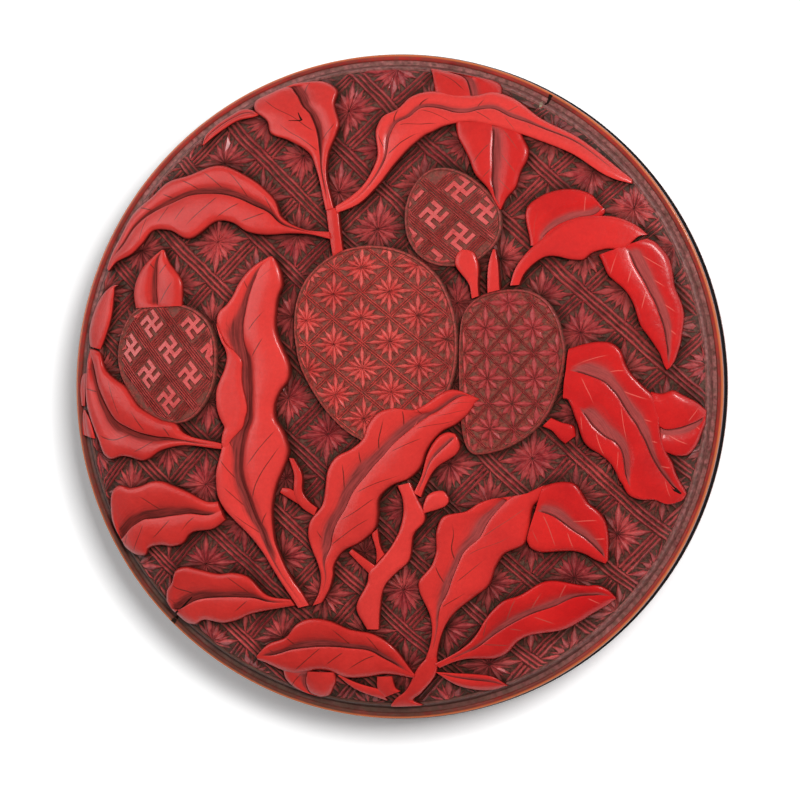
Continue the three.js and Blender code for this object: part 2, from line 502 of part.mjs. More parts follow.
  { crisp: 'none', level: 0.9, rows: [
    [0.9, -52.8, 4.8, -52.6, 0.5], [-0.2, -52.8, 5.2, -52.4, 0.5], [0.6, -51.7, 3.9, -51.8, 0.5],
    [2.6, -50.2, 5.3, -50.4, 0.5], [5.5, -45.8, 8.5, -46.1, 0.5], [6.5, -44.8, 8.6, -44.4, 0.5],
  ] },
  // Knot of the main branch
  { crisp: 'none', level: 0.8, rows: [
    [-1.2, -51.3, 1.9, -50.1, 0.5], [-1.9, -49.9, 1.2, -49.6, 0.5], [-1.8, -47.7, 0.8, -47.6, 0.5],
  ] },
  // Twig of the main branch
  { crisp: 'none', level: 0.75, rows: [
    [-0.6, -51.8, -1.2, -49.9, 0.5], [-5.9, -49.7, -5.5, -48.7, 0.5], [-8.5, -47.6, -8.2, -47.5, 0.5],
  ] },
  // Stem of the large lychee
  { crisp: 'none', level: 0.8, rows: [
    [-7.9, 21.3, -6.2, 22.3, 0.5], [-9.3, 29.3, -7.2, 29.2, 0.5],
  ] },
];

// Cover: the lacquer coat is one body with its carved relief
function carvedCover() {
  const blank = toSolid(turned([
    [0, coverLedge],
    [beadInnerRadius, coverLedge],
    [beadInnerRadius, coverLedge + collarHeight],
    [groundRadius + coatFlare, coverLedge + collarHeight],
    ...coverOutside,
  ]));
  const hollow = toSolid(turned([
    [0, coverLedge - 1],
    [coreInnerRadius, coverLedge - 1],
    ...coverCoatInside,
  ]));
  const insideRim = toSolid(turned([
    [0, coverLedge],
    [groundRadius, coverLedge],
    [groundRadius, coverShoulder + coverRise + 2 * reliefHeight],
    [0, coverShoulder + coverRise + 2 * reliefHeight],
  ]));
  const pieces = [...blades.map(blade), ...fruits.map(fruit)].map(toSolid);
  const relief = wasm.Manifold.union(pieces).intersect(insideRim);
  return fromSolid(blank.add(relief).subtract(hollow));
}
place('cover_carved_coat', carvedCover(), cinnabar());

const coverLinedMouth = coverMouthRadius + liningThickness;
place('cover_wood_core', turned([
  ...coverCoreInside.toReversed(),
  [coverLinedMouth, coverShoulder - 0.6],
  [coverLinedMouth, coverSeam + lipLanding],
  [coreRadius, coverSeam + lipLanding],
  [coreRadius, coverLedge],
  [coreInnerRadius, coverLedge],
  ...coverCoatInside,
]), wood());

place('cover_inner_lining', turned([
  ...coverLiningInside.toReversed(),
  [coverMouthRadius, coverShoulder - 0.7],
  [coverMouthRadius, coverSeam + lipLanding],
  [coverLinedMouth, coverSeam + lipLanding],
  [coverLinedMouth, coverShoulder - 0.6],
  ...coverCoreInside,
]), blackLacquer());

place('cover_mouth_lip', turnedRing([
  [coverMouthRadius, coverSeam],
  [mouthRadius, coverSeam],
  [mouthRadius, coverLedge],
  [coreRadius, coverLedge],
  [coreRadius, coverSeam + lipLanding],
  [coverMouthRadius, coverSeam + lipLanding],
]), blackLacquer());

// The bead stands on its lip outside the carved coat, rounded away from it; side is 1 up and -1 down
function rimBead(ledge, side) {
  const points = [
    [beadInnerRadius, ledge],
    [beadOuterRadius, ledge],
    [beadOuterRadius, ledge + side * beadHeight * 0.8],
    [beadOuterRadius - 0.2, ledge + side * beadHeight],
    [beadInnerRadius + 0.2, ledge + side * beadHeight],
    [beadInnerRadius, ledge + side * beadHeight * 0.8],
  ];
  return turnedRing(side > 0 ? points : points.toReversed());
}
place('cover_rim_bead', rimBead(coverLedge, 1), wornCinnabar());

// Base
place('base_carved_coat', turnedRing([
  ...baseOutside.toReversed(),
  [groundRadius + coatFlare, baseLedge - collarHeight],
  [beadInnerRadius, baseLedge - collarHeight],
  [beadInnerRadius, baseLedge],
  [coreInnerRadius, baseLedge],
  ...baseCoatInside,
  [footInnerRadius, footCoatThickness],
  [footRadius, footCoatThickness],
]), cinnabar());

const footInside = footRadius - footRingWidth;
place('base_foot_coat', turned([
  [0, footRecess],
  [footInside - 0.4, footRecess],
  [footInside, 0],
  [footRadius, 0],
  [footRadius, footCoatThickness],
  [footInside + 0.6, footCoatThickness],
  [footInside + 0.2, footRecess + footCoatThickness],
  [0, footRecess + footCoatThickness],
]), blackLacquer());

place('base_wood_core', turned([
  [0, footRecess + footCoatThickness],
  [footInside + 0.2, footRecess + footCoatThickness],
  [footInside + 0.6, footCoatThickness],
  [footInnerRadius, footCoatThickness],
  ...baseCoatInside.toReversed(),
  [coreInnerRadius, baseLedge],
  [coreRadius, baseLedge],
  [coreRadius, seamHeight - lipLanding],
  [flangeRadius, seamHeight - lipLanding],
  [flangeRadius, flangeFloor],
  ...baseCoreInside,
]), wood());

place('base_inner_lining', turned([
  ...baseCoreInside.toReversed(),
  ...baseInside,
]), blackLacquer());

place('base_inner_flange', turnedRing([
  [flangeInnerRadius, flangeFloor],
  [flangeRadius, flangeFloor],
  [flangeRadius, seamHeight + flangeUpstand - 0.4],
  [flangeRadius - 0.4, seamHeight + flangeUpstand],
  [flangeInnerRadius + 0.4, seamHeight + flangeUpstand],
  [flangeInnerRadius, seamHeight + flangeUpstand - 0.4],
]), blackLacquer());

place('base_mouth_lip', turnedRing([
  [flangeRadius, seamHeight],
  [flangeRadius, seamHeight - lipLanding],
  [coreRadius, seamHeight - lipLanding],
  [coreRadius, baseLedge],
  [mouthRadius, baseLedge],
  [mouthRadius, seamHeight],
]), blackLacquer());

place('base_rim_bead', rimBead(baseLedge, -1), wornCinnabar());

export default group;
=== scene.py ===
# %% [markdown]
# # A carved cinnabar lacquer box
# The real box is a turned wood base and cover under a few millimetres of red lacquer. The carver cuts
# lychees, leaves and branches out of that lacquer, and covers the ground between them with fine diaper
# patterns. This lesson dresses the plain solids of the CAD model as that box, piece by piece.

# %% Load the frame
import math

import bpy
import numpy as np
from mathutils import Matrix, Vector
from mathutils.kdtree import KDTree
from mathutils.bvhtree import BVHTree


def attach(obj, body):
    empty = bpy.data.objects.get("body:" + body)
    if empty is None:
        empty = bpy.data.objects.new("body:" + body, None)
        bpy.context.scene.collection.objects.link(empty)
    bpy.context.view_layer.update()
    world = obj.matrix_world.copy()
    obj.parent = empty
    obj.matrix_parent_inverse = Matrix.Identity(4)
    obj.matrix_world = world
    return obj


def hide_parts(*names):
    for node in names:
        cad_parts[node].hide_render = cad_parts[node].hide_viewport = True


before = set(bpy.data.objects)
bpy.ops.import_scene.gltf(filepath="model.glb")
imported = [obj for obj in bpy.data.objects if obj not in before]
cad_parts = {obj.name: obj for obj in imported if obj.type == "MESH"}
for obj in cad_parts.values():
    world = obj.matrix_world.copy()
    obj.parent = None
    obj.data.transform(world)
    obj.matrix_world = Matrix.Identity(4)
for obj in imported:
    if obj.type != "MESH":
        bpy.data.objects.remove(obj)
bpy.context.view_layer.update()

# %% [markdown]
# ## Sizes
# The sizes of the box are in millimetres, as on its drawing, and are turned into Blender's metres when a
# mesh is made. Lamps, camera, rays and textures are in metres. The cover's ground is a low dome: almost
# flat in the middle and steep at the rim.

# %% Sizes and the dome
MM = 0.001
MOUTH_RADIUS = 55.0
GROUND_RADIUS = 53.0
SEAM_HEIGHT = 21.0
SEAM_GAP = 0.1
LIP_HEIGHT = 1.6
LIP_LANDING = 0.5
CORE_RADIUS = 53.4
COAT_THICKNESS = 1.4
LINING_THICKNESS = 0.4
COVER_RISE = 10.5
RELIEF_HEIGHT = 2.3
SHOULDER = 1.3
COVER_LEDGE = SEAM_HEIGHT + SEAM_GAP + LIP_HEIGHT
COVER_SHOULDER = COVER_LEDGE + SHOULDER
BASE_LEDGE = SEAM_HEIGHT - LIP_HEIGHT
BASE_SHOULDER = BASE_LEDGE - SHOULDER
BELLY_DEPTH = 20.3
FOOT_RADIUS = 37.0
BEAD_OUTER = 54.9
BEAD_INNER = 53.9


def domed(q):
    """1 at the axis and 0 at the rim, where q is the radius as a fraction of the rim radius."""
    return (1 - np.minimum(q, 1.0) ** 2.4) ** 0.55


def ground_height(x, y):
    return COVER_SHOULDER + COVER_RISE * domed(np.hypot(x, y) / GROUND_RADIUS)


def face_height(x, y):
    """Height of the uncut face of the lacquer, from which the relief is carved."""
    return COVER_SHOULDER + 0.2 + (COVER_RISE + RELIEF_HEIGHT - 0.2) * domed(
        np.hypot(x, y) / (GROUND_RADIUS + 1))


print("top of the ground", ground_height(0, 0), "and of the relief", face_height(0, 0))

# %% [markdown]
# ## Two ways to make a mesh
# A turned piece is a profile spun about the box axis, as on the lathe. A leaf or a fruit is a grid of
# points that is bent into its shape. Both helpers give a closed mesh whose faces point outwards.

# %% Mesh helpers
SEGMENTS = 256
DOME_STEPS = 48


def new_object(name, data):
    obj = bpy.data.objects.new(name, data)
    bpy.context.scene.collection.objects.link(obj)
    return obj


def make_object(name, points, faces, material, sharp_angle=40, values=None):
    """A Blender object at the origin from points in millimetres, with values stored on its points."""
    mesh = bpy.data.meshes.new(name)
    mesh.from_pydata((np.asarray(points, dtype=float) * MM).tolist(), [], faces)
    mesh.validate()
    mesh.shade_smooth()
    mesh.set_sharp_from_angle(angle=math.radians(sharp_angle))
    for label, column in (values or {}).items():
        layer = mesh.attributes.new(label, "FLOAT", "POINT")
        layer.data.foreach_set("value", np.asarray(column, dtype=np.float32))
    if material:
        mesh.materials.append(material)
    return new_object(name, mesh)


def grid_faces(rows, columns, wrap=False):
    """Quads over a grid of points that is stored row by row."""
    last = columns if wrap else columns - 1
    faces = []
    for j in range(rows - 1):
        for i in range(last):
            nxt = (i + 1) % columns
            a, b = j * columns + i, j * columns + nxt
            faces.append((a, b, b + columns, a + columns))
    return faces


def rounded(corners, radius):
    """Cut each inner corner of a profile with a short curve. A corner may bring its own radius."""
    points = [np.array(corners[0][:2], dtype=float)]
    for before, corner, after in zip(corners, corners[1:], corners[2:]):
        size = corner[2] if len(corner) > 2 else radius
        p = np.array(corner[:2], dtype=float)
        back = np.array(before[:2]) - p
        ahead = np.array(after[:2]) - p
        size = min(size, np.linalg.norm(back) * 0.45, np.linalg.norm(ahead) * 0.45)
        if size < 0.02:
            points.append(p)
            continue
        start = p + back / np.linalg.norm(back) * size
        end = p + ahead / np.linalg.norm(ahead) * size
        for t in (0.0, 0.3, 0.7, 1.0):
            points.append((1 - t) ** 2 * start + 2 * t * (1 - t) * p + t * t * end)
    points.append(np.array(corners[-1][:2], dtype=float))
    return points


def run_along(path):
    """The distance along a path to each of its points."""
    return np.concatenate([[0.0], np.cumsum(np.hypot(*np.diff(path, axis=0).T))])


def turned(name, profile, material, values=None):
    """Spin a counterclockwise profile of (radius, height) that ends on the axis or closes on itself."""
    angles = np.arange(SEGMENTS) * 2 * math.pi / SEGMENTS
    closed = profile[0][0] > 1e-6
    rings = profile[:-1] if closed and np.allclose(profile[0], profile[-1]) else profile
    points, faces, rows = [], [], []
    for radius, height in rings:
        if radius < 1e-6:
            rows.append([len(points)] * SEGMENTS)
            points.append((0, 0, height))
        else:
            rows.append(list(range(len(points), len(points) + SEGMENTS)))
            points.extend(zip(radius * np.cos(angles), radius * np.sin(angles), [height] * SEGMENTS))
    pairs = list(zip(rows, rows[1:])) + ([(rows[-1], rows[0])] if closed else [])
    for low, high in pairs:
        for i in range(SEGMENTS):
            k = (i + 1) % SEGMENTS
            quad = [low[i], low[k], high[k], high[i]]
            faces.append(tuple(v for n, v in enumerate(quad) if v != quad[n - 1]))
    spread = {}
    for label, column in (values or {}).items():
        spread[label] = np.concatenate([[v] * len(set(row)) for v, row in zip(column, rows)])
    return make_object(name, points, faces, material, values=spread)


dressed = {"base": [], "cover": []}


def dress(obj, body, slot, *nodes):
    """Attach a piece to the body that carries it and hide the plain solids that it stands for. The slot is
    not used.
    """
    dressed[body].append(obj)
    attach(obj, body)
    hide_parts(*nodes)
    return obj


def dome_profile(radius, shoulder, rise, last=0.0):
    """Points of the dome from its rim towards the axis, closer together where it is steep."""
    q = last + (1 - last) * np.sin(np.linspace(math.pi / 2, 0, DOME_STEPS))
    return [(radius * v, shoulder + rise * float(domed(v))) for v in q]


# %% [markdown]
# ## Finishes
# Old lacquer is never one colour. The faces that hands touch are bright and smooth, the cuts hold dust and
# dark residue, and the bead's outer edge is rubbed paler. Some colours also carry painted light: painted
# shade down the walls, in the folds and next to the undercut leaves, painted highlights on the ridge tops
# and on the black lips, painted shade on the right and a painted sheen on the left. Each finish mixes those
# by values that are stored on the mesh: how deep a point lies in a cut, how far down a wall it is, and where
# a leaf's veins run.

# %% Node helpers


class Nodes:
    """Short words for adding nodes to one tree. An input takes a number, a colour or another socket."""

    def __init__(self, tree):
        self.tree = tree

    def fill(self, node, values):
        """Link or set inputs by name or index. A colour is given without its alpha."""
        for key, value in values.items():
            socket = node.inputs[key]
            if isinstance(value, bpy.types.NodeSocket):
                self.tree.links.new(value, socket)
            elif socket.type == "RGBA":
                socket.default_value = (*value, 1.0)
            else:
                socket.default_value = value

    def node(self, kind, values=None, **settings):
        node = self.tree.nodes.new(kind)
        for key, value in settings.items():
            setattr(node, key, value)
        self.fill(node, values or {})
        return node

    def add(self, kind, values=None, out=0, **settings):
        return self.node(kind, values, **settings).outputs[out]

    def math(self, operation, a, b=0.0, clamp=False):
        return self.add("ShaderNodeMath", {0: a, 1: b}, operation=operation, use_clamp=clamp)

    def vector(self, operation, a, b, out=0):
        second = 3 if operation == "SCALE" else 1
        return self.add("ShaderNodeVectorMath", {0: a, second: b}, out, operation=operation)

    def mix(self, factor, a, b):
        return self.add("ShaderNodeMix", {0: factor, 6: a, 7: b}, 2, data_type="RGBA")

    def span(self, value, low, high, out_low=0.0, out_high=1.0):
        """Stretch the range from low to high to another range."""
        return self.add("ShaderNodeMapRange", {
            "Value": value, "From Min": low, "From Max": high, "To Min": out_low, "To Max": out_high})

    def stored(self, label):
        return self.add("ShaderNodeAttribute", out="Fac", attribute_name=label)

    def place(self):
        return self.add("ShaderNodeTexCoord", out="Object")

    def noise(self, scale, detail=3.0, rough=0.55, place=None, out=0):
        return self.add("ShaderNodeTexNoise", {
            "Vector": self.place() if place is None else place,
            "Scale": scale, "Detail": detail, "Roughness": rough}, out)

    def toward(self, low, high, way=(1.0, 0.0, 0.0)):
        """Rises from 0 to 1 across the box, between two distances in metres along a direction."""
        return self.span(self.vector("DOT_PRODUCT", self.place(), way, "Value"), low, high)


def number_group(name, inputs, outputs):
    """An empty shader node group with its inputs, given by name and default, and its outputs."""
    tree = bpy.data.node_groups.new(name, "ShaderNodeTree")
    sockets = tree.interface
    for label, value in inputs.items():
        socket = sockets.new_socket(label, in_out="INPUT", socket_type="NodeSocketFloat")
        socket.default_value = value
    for label in outputs:
        sockets.new_socket(label, in_out="OUTPUT", socket_type="NodeSocketFloat")
    group = Nodes(tree)
    return group, group.node("NodeGroupInput").outputs, group.node("NodeGroupOutput")


# %% [markdown]
# Two effects are shared. Hand polish makes the height and gloss of a rubbed surface slightly uneven.
# Settled dirt is a mask of speckles that gathers where it is told to.

# %% Shared effects
polish, given, result = number_group(
    "hand_polish", {"Scale": 300.0, "Gloss": 0.35, "Spread": 0.12}, ["Roughness", "Height"])
broad = polish.noise(given["Scale"], 4.0, 0.6)
uneven = polish.math("MULTIPLY", polish.math("SUBTRACT", broad, 0.5), given["Spread"])
polish.fill(result, {"Roughness": polish.math("ADD", given["Gloss"], uneven), "Height": broad})

dirt, given, result = number_group("settled_dirt", {"Where": 0.5, "Scale": 900.0}, ["Mask"])
speckle = dirt.span(dirt.noise(given["Scale"], 5.0, 0.7), 0.38, 0.62)
dirt.fill(result, {"Mask": dirt.math("MULTIPLY", speckle, given["Where"], clamp=True)})
print("shared effects:", polish.tree.name, dirt.tree.name)

# %% Lacquer finishes
MAROON = (0.105, 0.012, 0.012)
RESIDUE_AND_SHADE = (0.024, 0.014, 0.008)
OLIVE_DUST = (0.105, 0.072, 0.048)
RIDGE_HIGHLIGHT = (0.62, 0.14, 0.125)
EDGE_ORANGE = (0.62, 0.15, 0.045)
LIP_HIGHLIGHT_GREY = (0.16, 0.19, 0.24)
SHADED_SIDE = (0.5, 0.87, 0.0)
WHITE = (1.0, 1.0, 1.0)
POLISH_HEIGHT = 0.0002


def new_material(name, gloss, spread, bump, polish_scale):
    """A Principled material with hand polish in its roughness and bump. Base Color comes later."""
    material = bpy.data.materials.new(name)
    material.use_nodes = True
    tree = Nodes(material.node_tree)
    effect = tree.node("ShaderNodeGroup", {
        "Scale": polish_scale, "Gloss": gloss, "Spread": spread}, node_tree=polish.tree).outputs
    relief = tree.add("ShaderNodeBump", {
        "Strength": bump, "Distance": POLISH_HEIGHT, "Height": effect["Height"]})
    shader = material.node_tree.nodes["Principled BSDF"]
    tree.fill(shader, {"Roughness": effect["Roughness"], "Normal": relief})
    return material, tree, shader


def dust(tree, body, where, scale, tint):
    """Lay settled dirt of one tint over a colour."""
    mask = tree.add("ShaderNodeGroup", {"Scale": scale, "Where": where}, node_tree=dirt.tree)
    return tree.mix(mask, body, tint)


def leaf_lacquer():
    """Bright smooth lacquer of leaves: dust and painted shade in the folds, painted shade on the walls, a
    painted sheen on the left, fine cut veins.
    """
    material, tree, shader = new_material("leaf_lacquer", 0.36, 0.16, 1.0, 330.0)
    # Painted sheen: on the left side of the box the faces are pinker, where the left lamps' reflection lies,
    # and on the right they stay deep red.
    side = tree.toward(0.0, 0.032)
    bright = tree.mix(side, (0.70, 0.036, 0.028), (0.68, 0.012, 0.011))
    deep = tree.mix(side, (0.52, 0.020, 0.016), (0.50, 0.006, 0.008))
    face = tree.mix(tree.span(tree.noise(110.0, 4.0, 0.6), 0.3, 0.7), bright, deep)
    # Painted sheen: the stored pale value washes a leaf's faces pale pink, standing in for a broad soft
    # highlight.
    face = tree.mix(tree.stored("pale"), face, (0.84, 0.060, 0.050))

    # Streaks run out along the veins and tear the edge of the dark fold colour, which is partly dust and
    # partly painted shade.
    across = tree.add("ShaderNodeCombineXYZ", {
        0: tree.math("MULTIPLY", tree.stored("vein"), 1.1),
        1: tree.math("MULTIPLY", tree.stored("off"), 3.4)})
    streak = tree.noise(1.0, 3.0, 0.6, across)
    torn = tree.math("ADD", tree.stored("hollow"), tree.span(streak, 0.3, 0.7, -0.1, 0.1))
    # The floor of a fold is dark, partly dust and partly painted shade, and turns paler pink towards the
    # right, partly dust and partly a painted sheen; the dark streaks thin out there.
    dust_and_sheen_right = tree.toward(-0.045, 0.030)
    cleaner = tree.math("SUBTRACT", 0.85, tree.math("MULTIPLY", dust_and_sheen_right, 0.55))
    grime = tree.math("MULTIPLY", tree.span(streak, 0.42, 0.62), cleaner)
    floor = tree.mix(dust_and_sheen_right, (0.23, 0.026, 0.022), (0.44, 0.075, 0.070))
    floor = tree.mix(grime, floor, (0.10, 0.020, 0.017))
    hollow = tree.span(torn, 0.12, 0.95)
    body = tree.mix(hollow, face, floor)
    # Painted shadow: a near-black line in the fold right under the crisp edge.
    painted_crease_shadow = tree.math("MULTIPLY", tree.span(torn, 1.35, 2.0), 0.85)
    body = tree.mix(painted_crease_shadow, body, (0.050, 0.011, 0.008))
    # Painted shade: the walls darken towards their root, and a thin dark outline runs along the top of each
    # edge.
    wall = tree.stored("wall")
    body = tree.mix(tree.math("MULTIPLY", wall, 0.95), body, (0.045, 0.010, 0.007))

    # A vein is a thin line in the middle of each step of the stored count.
    phase = tree.math("FRACT", tree.stored("vein"))
    line = tree.span(tree.math("ABSOLUTE", tree.math("SUBTRACT", phase, 0.5)), 0.034, 0.016)
    line = tree.math("MULTIPLY", tree.math("MULTIPLY", line, tree.stored("vein_mask")), 0.8)
    body = tree.mix(line, body, tree.mix(tree.toward(0.012, 0.034), RESIDUE_AND_SHADE, (0.78, 0.13, 0.10)))
    bare = tree.math("SUBTRACT", 1.0, tree.math("MAXIMUM", hollow, wall), clamp=True)
    tree.fill(shader, {
        "Base Color": dust(tree, body, 0.10, 1500.0, MAROON),
        "Coat Weight": tree.math("MULTIPLY", bare, 0.3), "Coat Roughness": 0.2,
        "Specular IOR Level": tree.math("MULTIPLY", bare, 0.32)})
    return material


def carving_lacquer(name, top, middle, bottom, full_depth, painted_right_shade=None):
    """Diaper carving: brown with dust in the cuts, red or maroon on the ridges, painted highlights on the
    ridge tops and painted shade to the right.
    """
    material, tree, shader = new_material(name, 0.40, 0.25, 1.0, 1300.0)
    height = tree.span(tree.stored("cut"), 0.0, full_depth)
    zones = tree.math("ADD", tree.noise(60.0), tree.noise(520.0))
    upper = tree.mix(tree.span(zones, 0.82, 1.18), top, middle)
    # Painted shade: towards the right side of the box the ridges darken to this colour.
    if painted_right_shade:
        upper = tree.mix(tree.toward(0.003, 0.019), upper, painted_right_shade)
    grain = tree.span(tree.noise(1400.0, 4.0), 0.3, 0.7, -0.28, 0.28)
    level = tree.math("ADD", height, grain, clamp=True)
    floor = tree.mix(tree.span(tree.noise(2600.0), 0.46, 0.62, 0.0, 0.55), bottom, middle)
    body = tree.mix(tree.span(level, 0.15, 0.85), floor, upper)
    # Painted highlight: the highest ridge tops turn pale pink.
    body = tree.mix(tree.math("MULTIPLY", tree.span(level, 0.85, 1.15), 0.5), body, RIDGE_HIGHLIGHT)
    body = dust(tree, body, tree.math("SUBTRACT", 0.75, level, clamp=True), 1300.0, OLIVE_DUST)
    glossy = tree.span(tree.noise(90.0, 2.0), 0.45, 0.65, 0.2, 0.55)
    gloss = tree.math("MULTIPLY", tree.span(level, 0.3, 0.8), glossy)
    # The stored shade darkens the carving next to the relief walls: partly residue, partly painted shadow of
    # the undercut.
    tree.fill(shader, {
        "Base Color": tree.mix(tree.stored("shade"), body, RESIDUE_AND_SHADE),
        "Coat Weight": gloss, "Coat Roughness": 0.27,
        "Roughness": tree.math("SUBTRACT", 0.75, tree.math("MULTIPLY", gloss, 0.55))})
    return material


def plain_lacquer(name, base, patch, patch_scale, gloss, specks, coat, shine=0.5,
                  edge_wear_and_highlight=EDGE_ORANGE, shaded=None):
    """Lacquer of one colour with cloudy patches and settled specks."""
    material, tree, shader = new_material(name, gloss, 0.12, 0.2, 400.0)
    body = tree.mix(tree.span(tree.noise(patch_scale, 4.0), 0.35, 0.7), base, patch)
    if shaded:
        patches = tree.span(tree.noise(260.0, 4.0), 0.5, 0.75, 0.0, 0.5)
        lit = tree.math("ADD", tree.toward(-0.047, -0.015, SHADED_SIDE), patches, clamp=True)
        body = tree.mix(lit, shaded, body)
    body = dust(tree, body, specks, 1100.0, OLIVE_DUST)
    # The edge colour is worn orange on the bead and a painted highlight on the black lips.
    tree.fill(shader, {
        "Base Color": tree.mix(tree.stored("edge"), body, edge_wear_and_highlight), "Coat Weight": coat,
        "Coat Roughness": 0.15, "Specular IOR Level": shine})
    return material


def turned_wood():
    """Bare wood of the cores, with its grain drawn out along one axis."""
    material, tree, shader = new_material("turned_wood", 0.62, 0.1, 0.3, 900.0)
    drawn_out = tree.add("ShaderNodeMapping", {"Vector": tree.place(), "Scale": (1.0, 0.12, 1.0)})
    grain = tree.span(tree.noise(260.0, 5.0, 0.6, drawn_out), 0.35, 0.65)
    tree.fill(shader, {"Base Color": tree.mix(grain, (0.30, 0.17, 0.075), (0.17, 0.085, 0.035))})
    return material


LEAF = leaf_lacquer()
GROUND_CARVING = carving_lacquer(
    "ground_carving", (0.61, 0.078, 0.076), (0.33, 0.027, 0.034), (0.058, 0.020, 0.014), 0.5)
FRUIT_CARVING = carving_lacquer(
    "fruit_carving", (0.90, 0.13, 0.11), (0.72, 0.070, 0.062), (0.20, 0.034, 0.025), 0.42,
    painted_right_shade=(0.46, 0.045, 0.050))
WAN_CARVING = carving_lacquer(
    "wan_carving", (0.74, 0.115, 0.110), (0.60, 0.055, 0.052), (0.21, 0.040, 0.032), 0.5)
RIM_BAND_FINISH = plain_lacquer(
    "rim_band", (0.42, 0.145, 0.135), (0.12, 0.026, 0.026), 1400.0, 0.5, 0.55, 0.1,
    shaded=(0.085, 0.028, 0.022))
BEAD_RED = plain_lacquer(
    "worn_bead", (0.46, 0.026, 0.020), (0.22, 0.016, 0.014), 140.0, 0.34, 0.45, 0.2,
    shaded=(0.11, 0.026, 0.019))
# The black lips' grey edge colour is a painted highlight along their rounded top.
BLACK = plain_lacquer(
    "black_lacquer", (0.006, 0.005, 0.007), (0.014, 0.010, 0.011), 80.0, 0.3, 0.04, 0.03, 0.0, LIP_HIGHLIGHT_GREY)
WOOD = turned_wood()
print("materials:", [m.name for m in bpy.data.materials])

# %% [markdown]
# ## Leaves, stems and branches
# The carver leaves each leaf standing and shapes its two halves. One half rises to a crisp edge over the
# fold, and the other slopes up out of it, so every leaf shows a dark hollow along its middle. A stem is
# only rounded. Each row below crosses a piece from one edge to the other: two points, and then what
# differs from ROW_ENDING. A smooth curve runs through the rows.

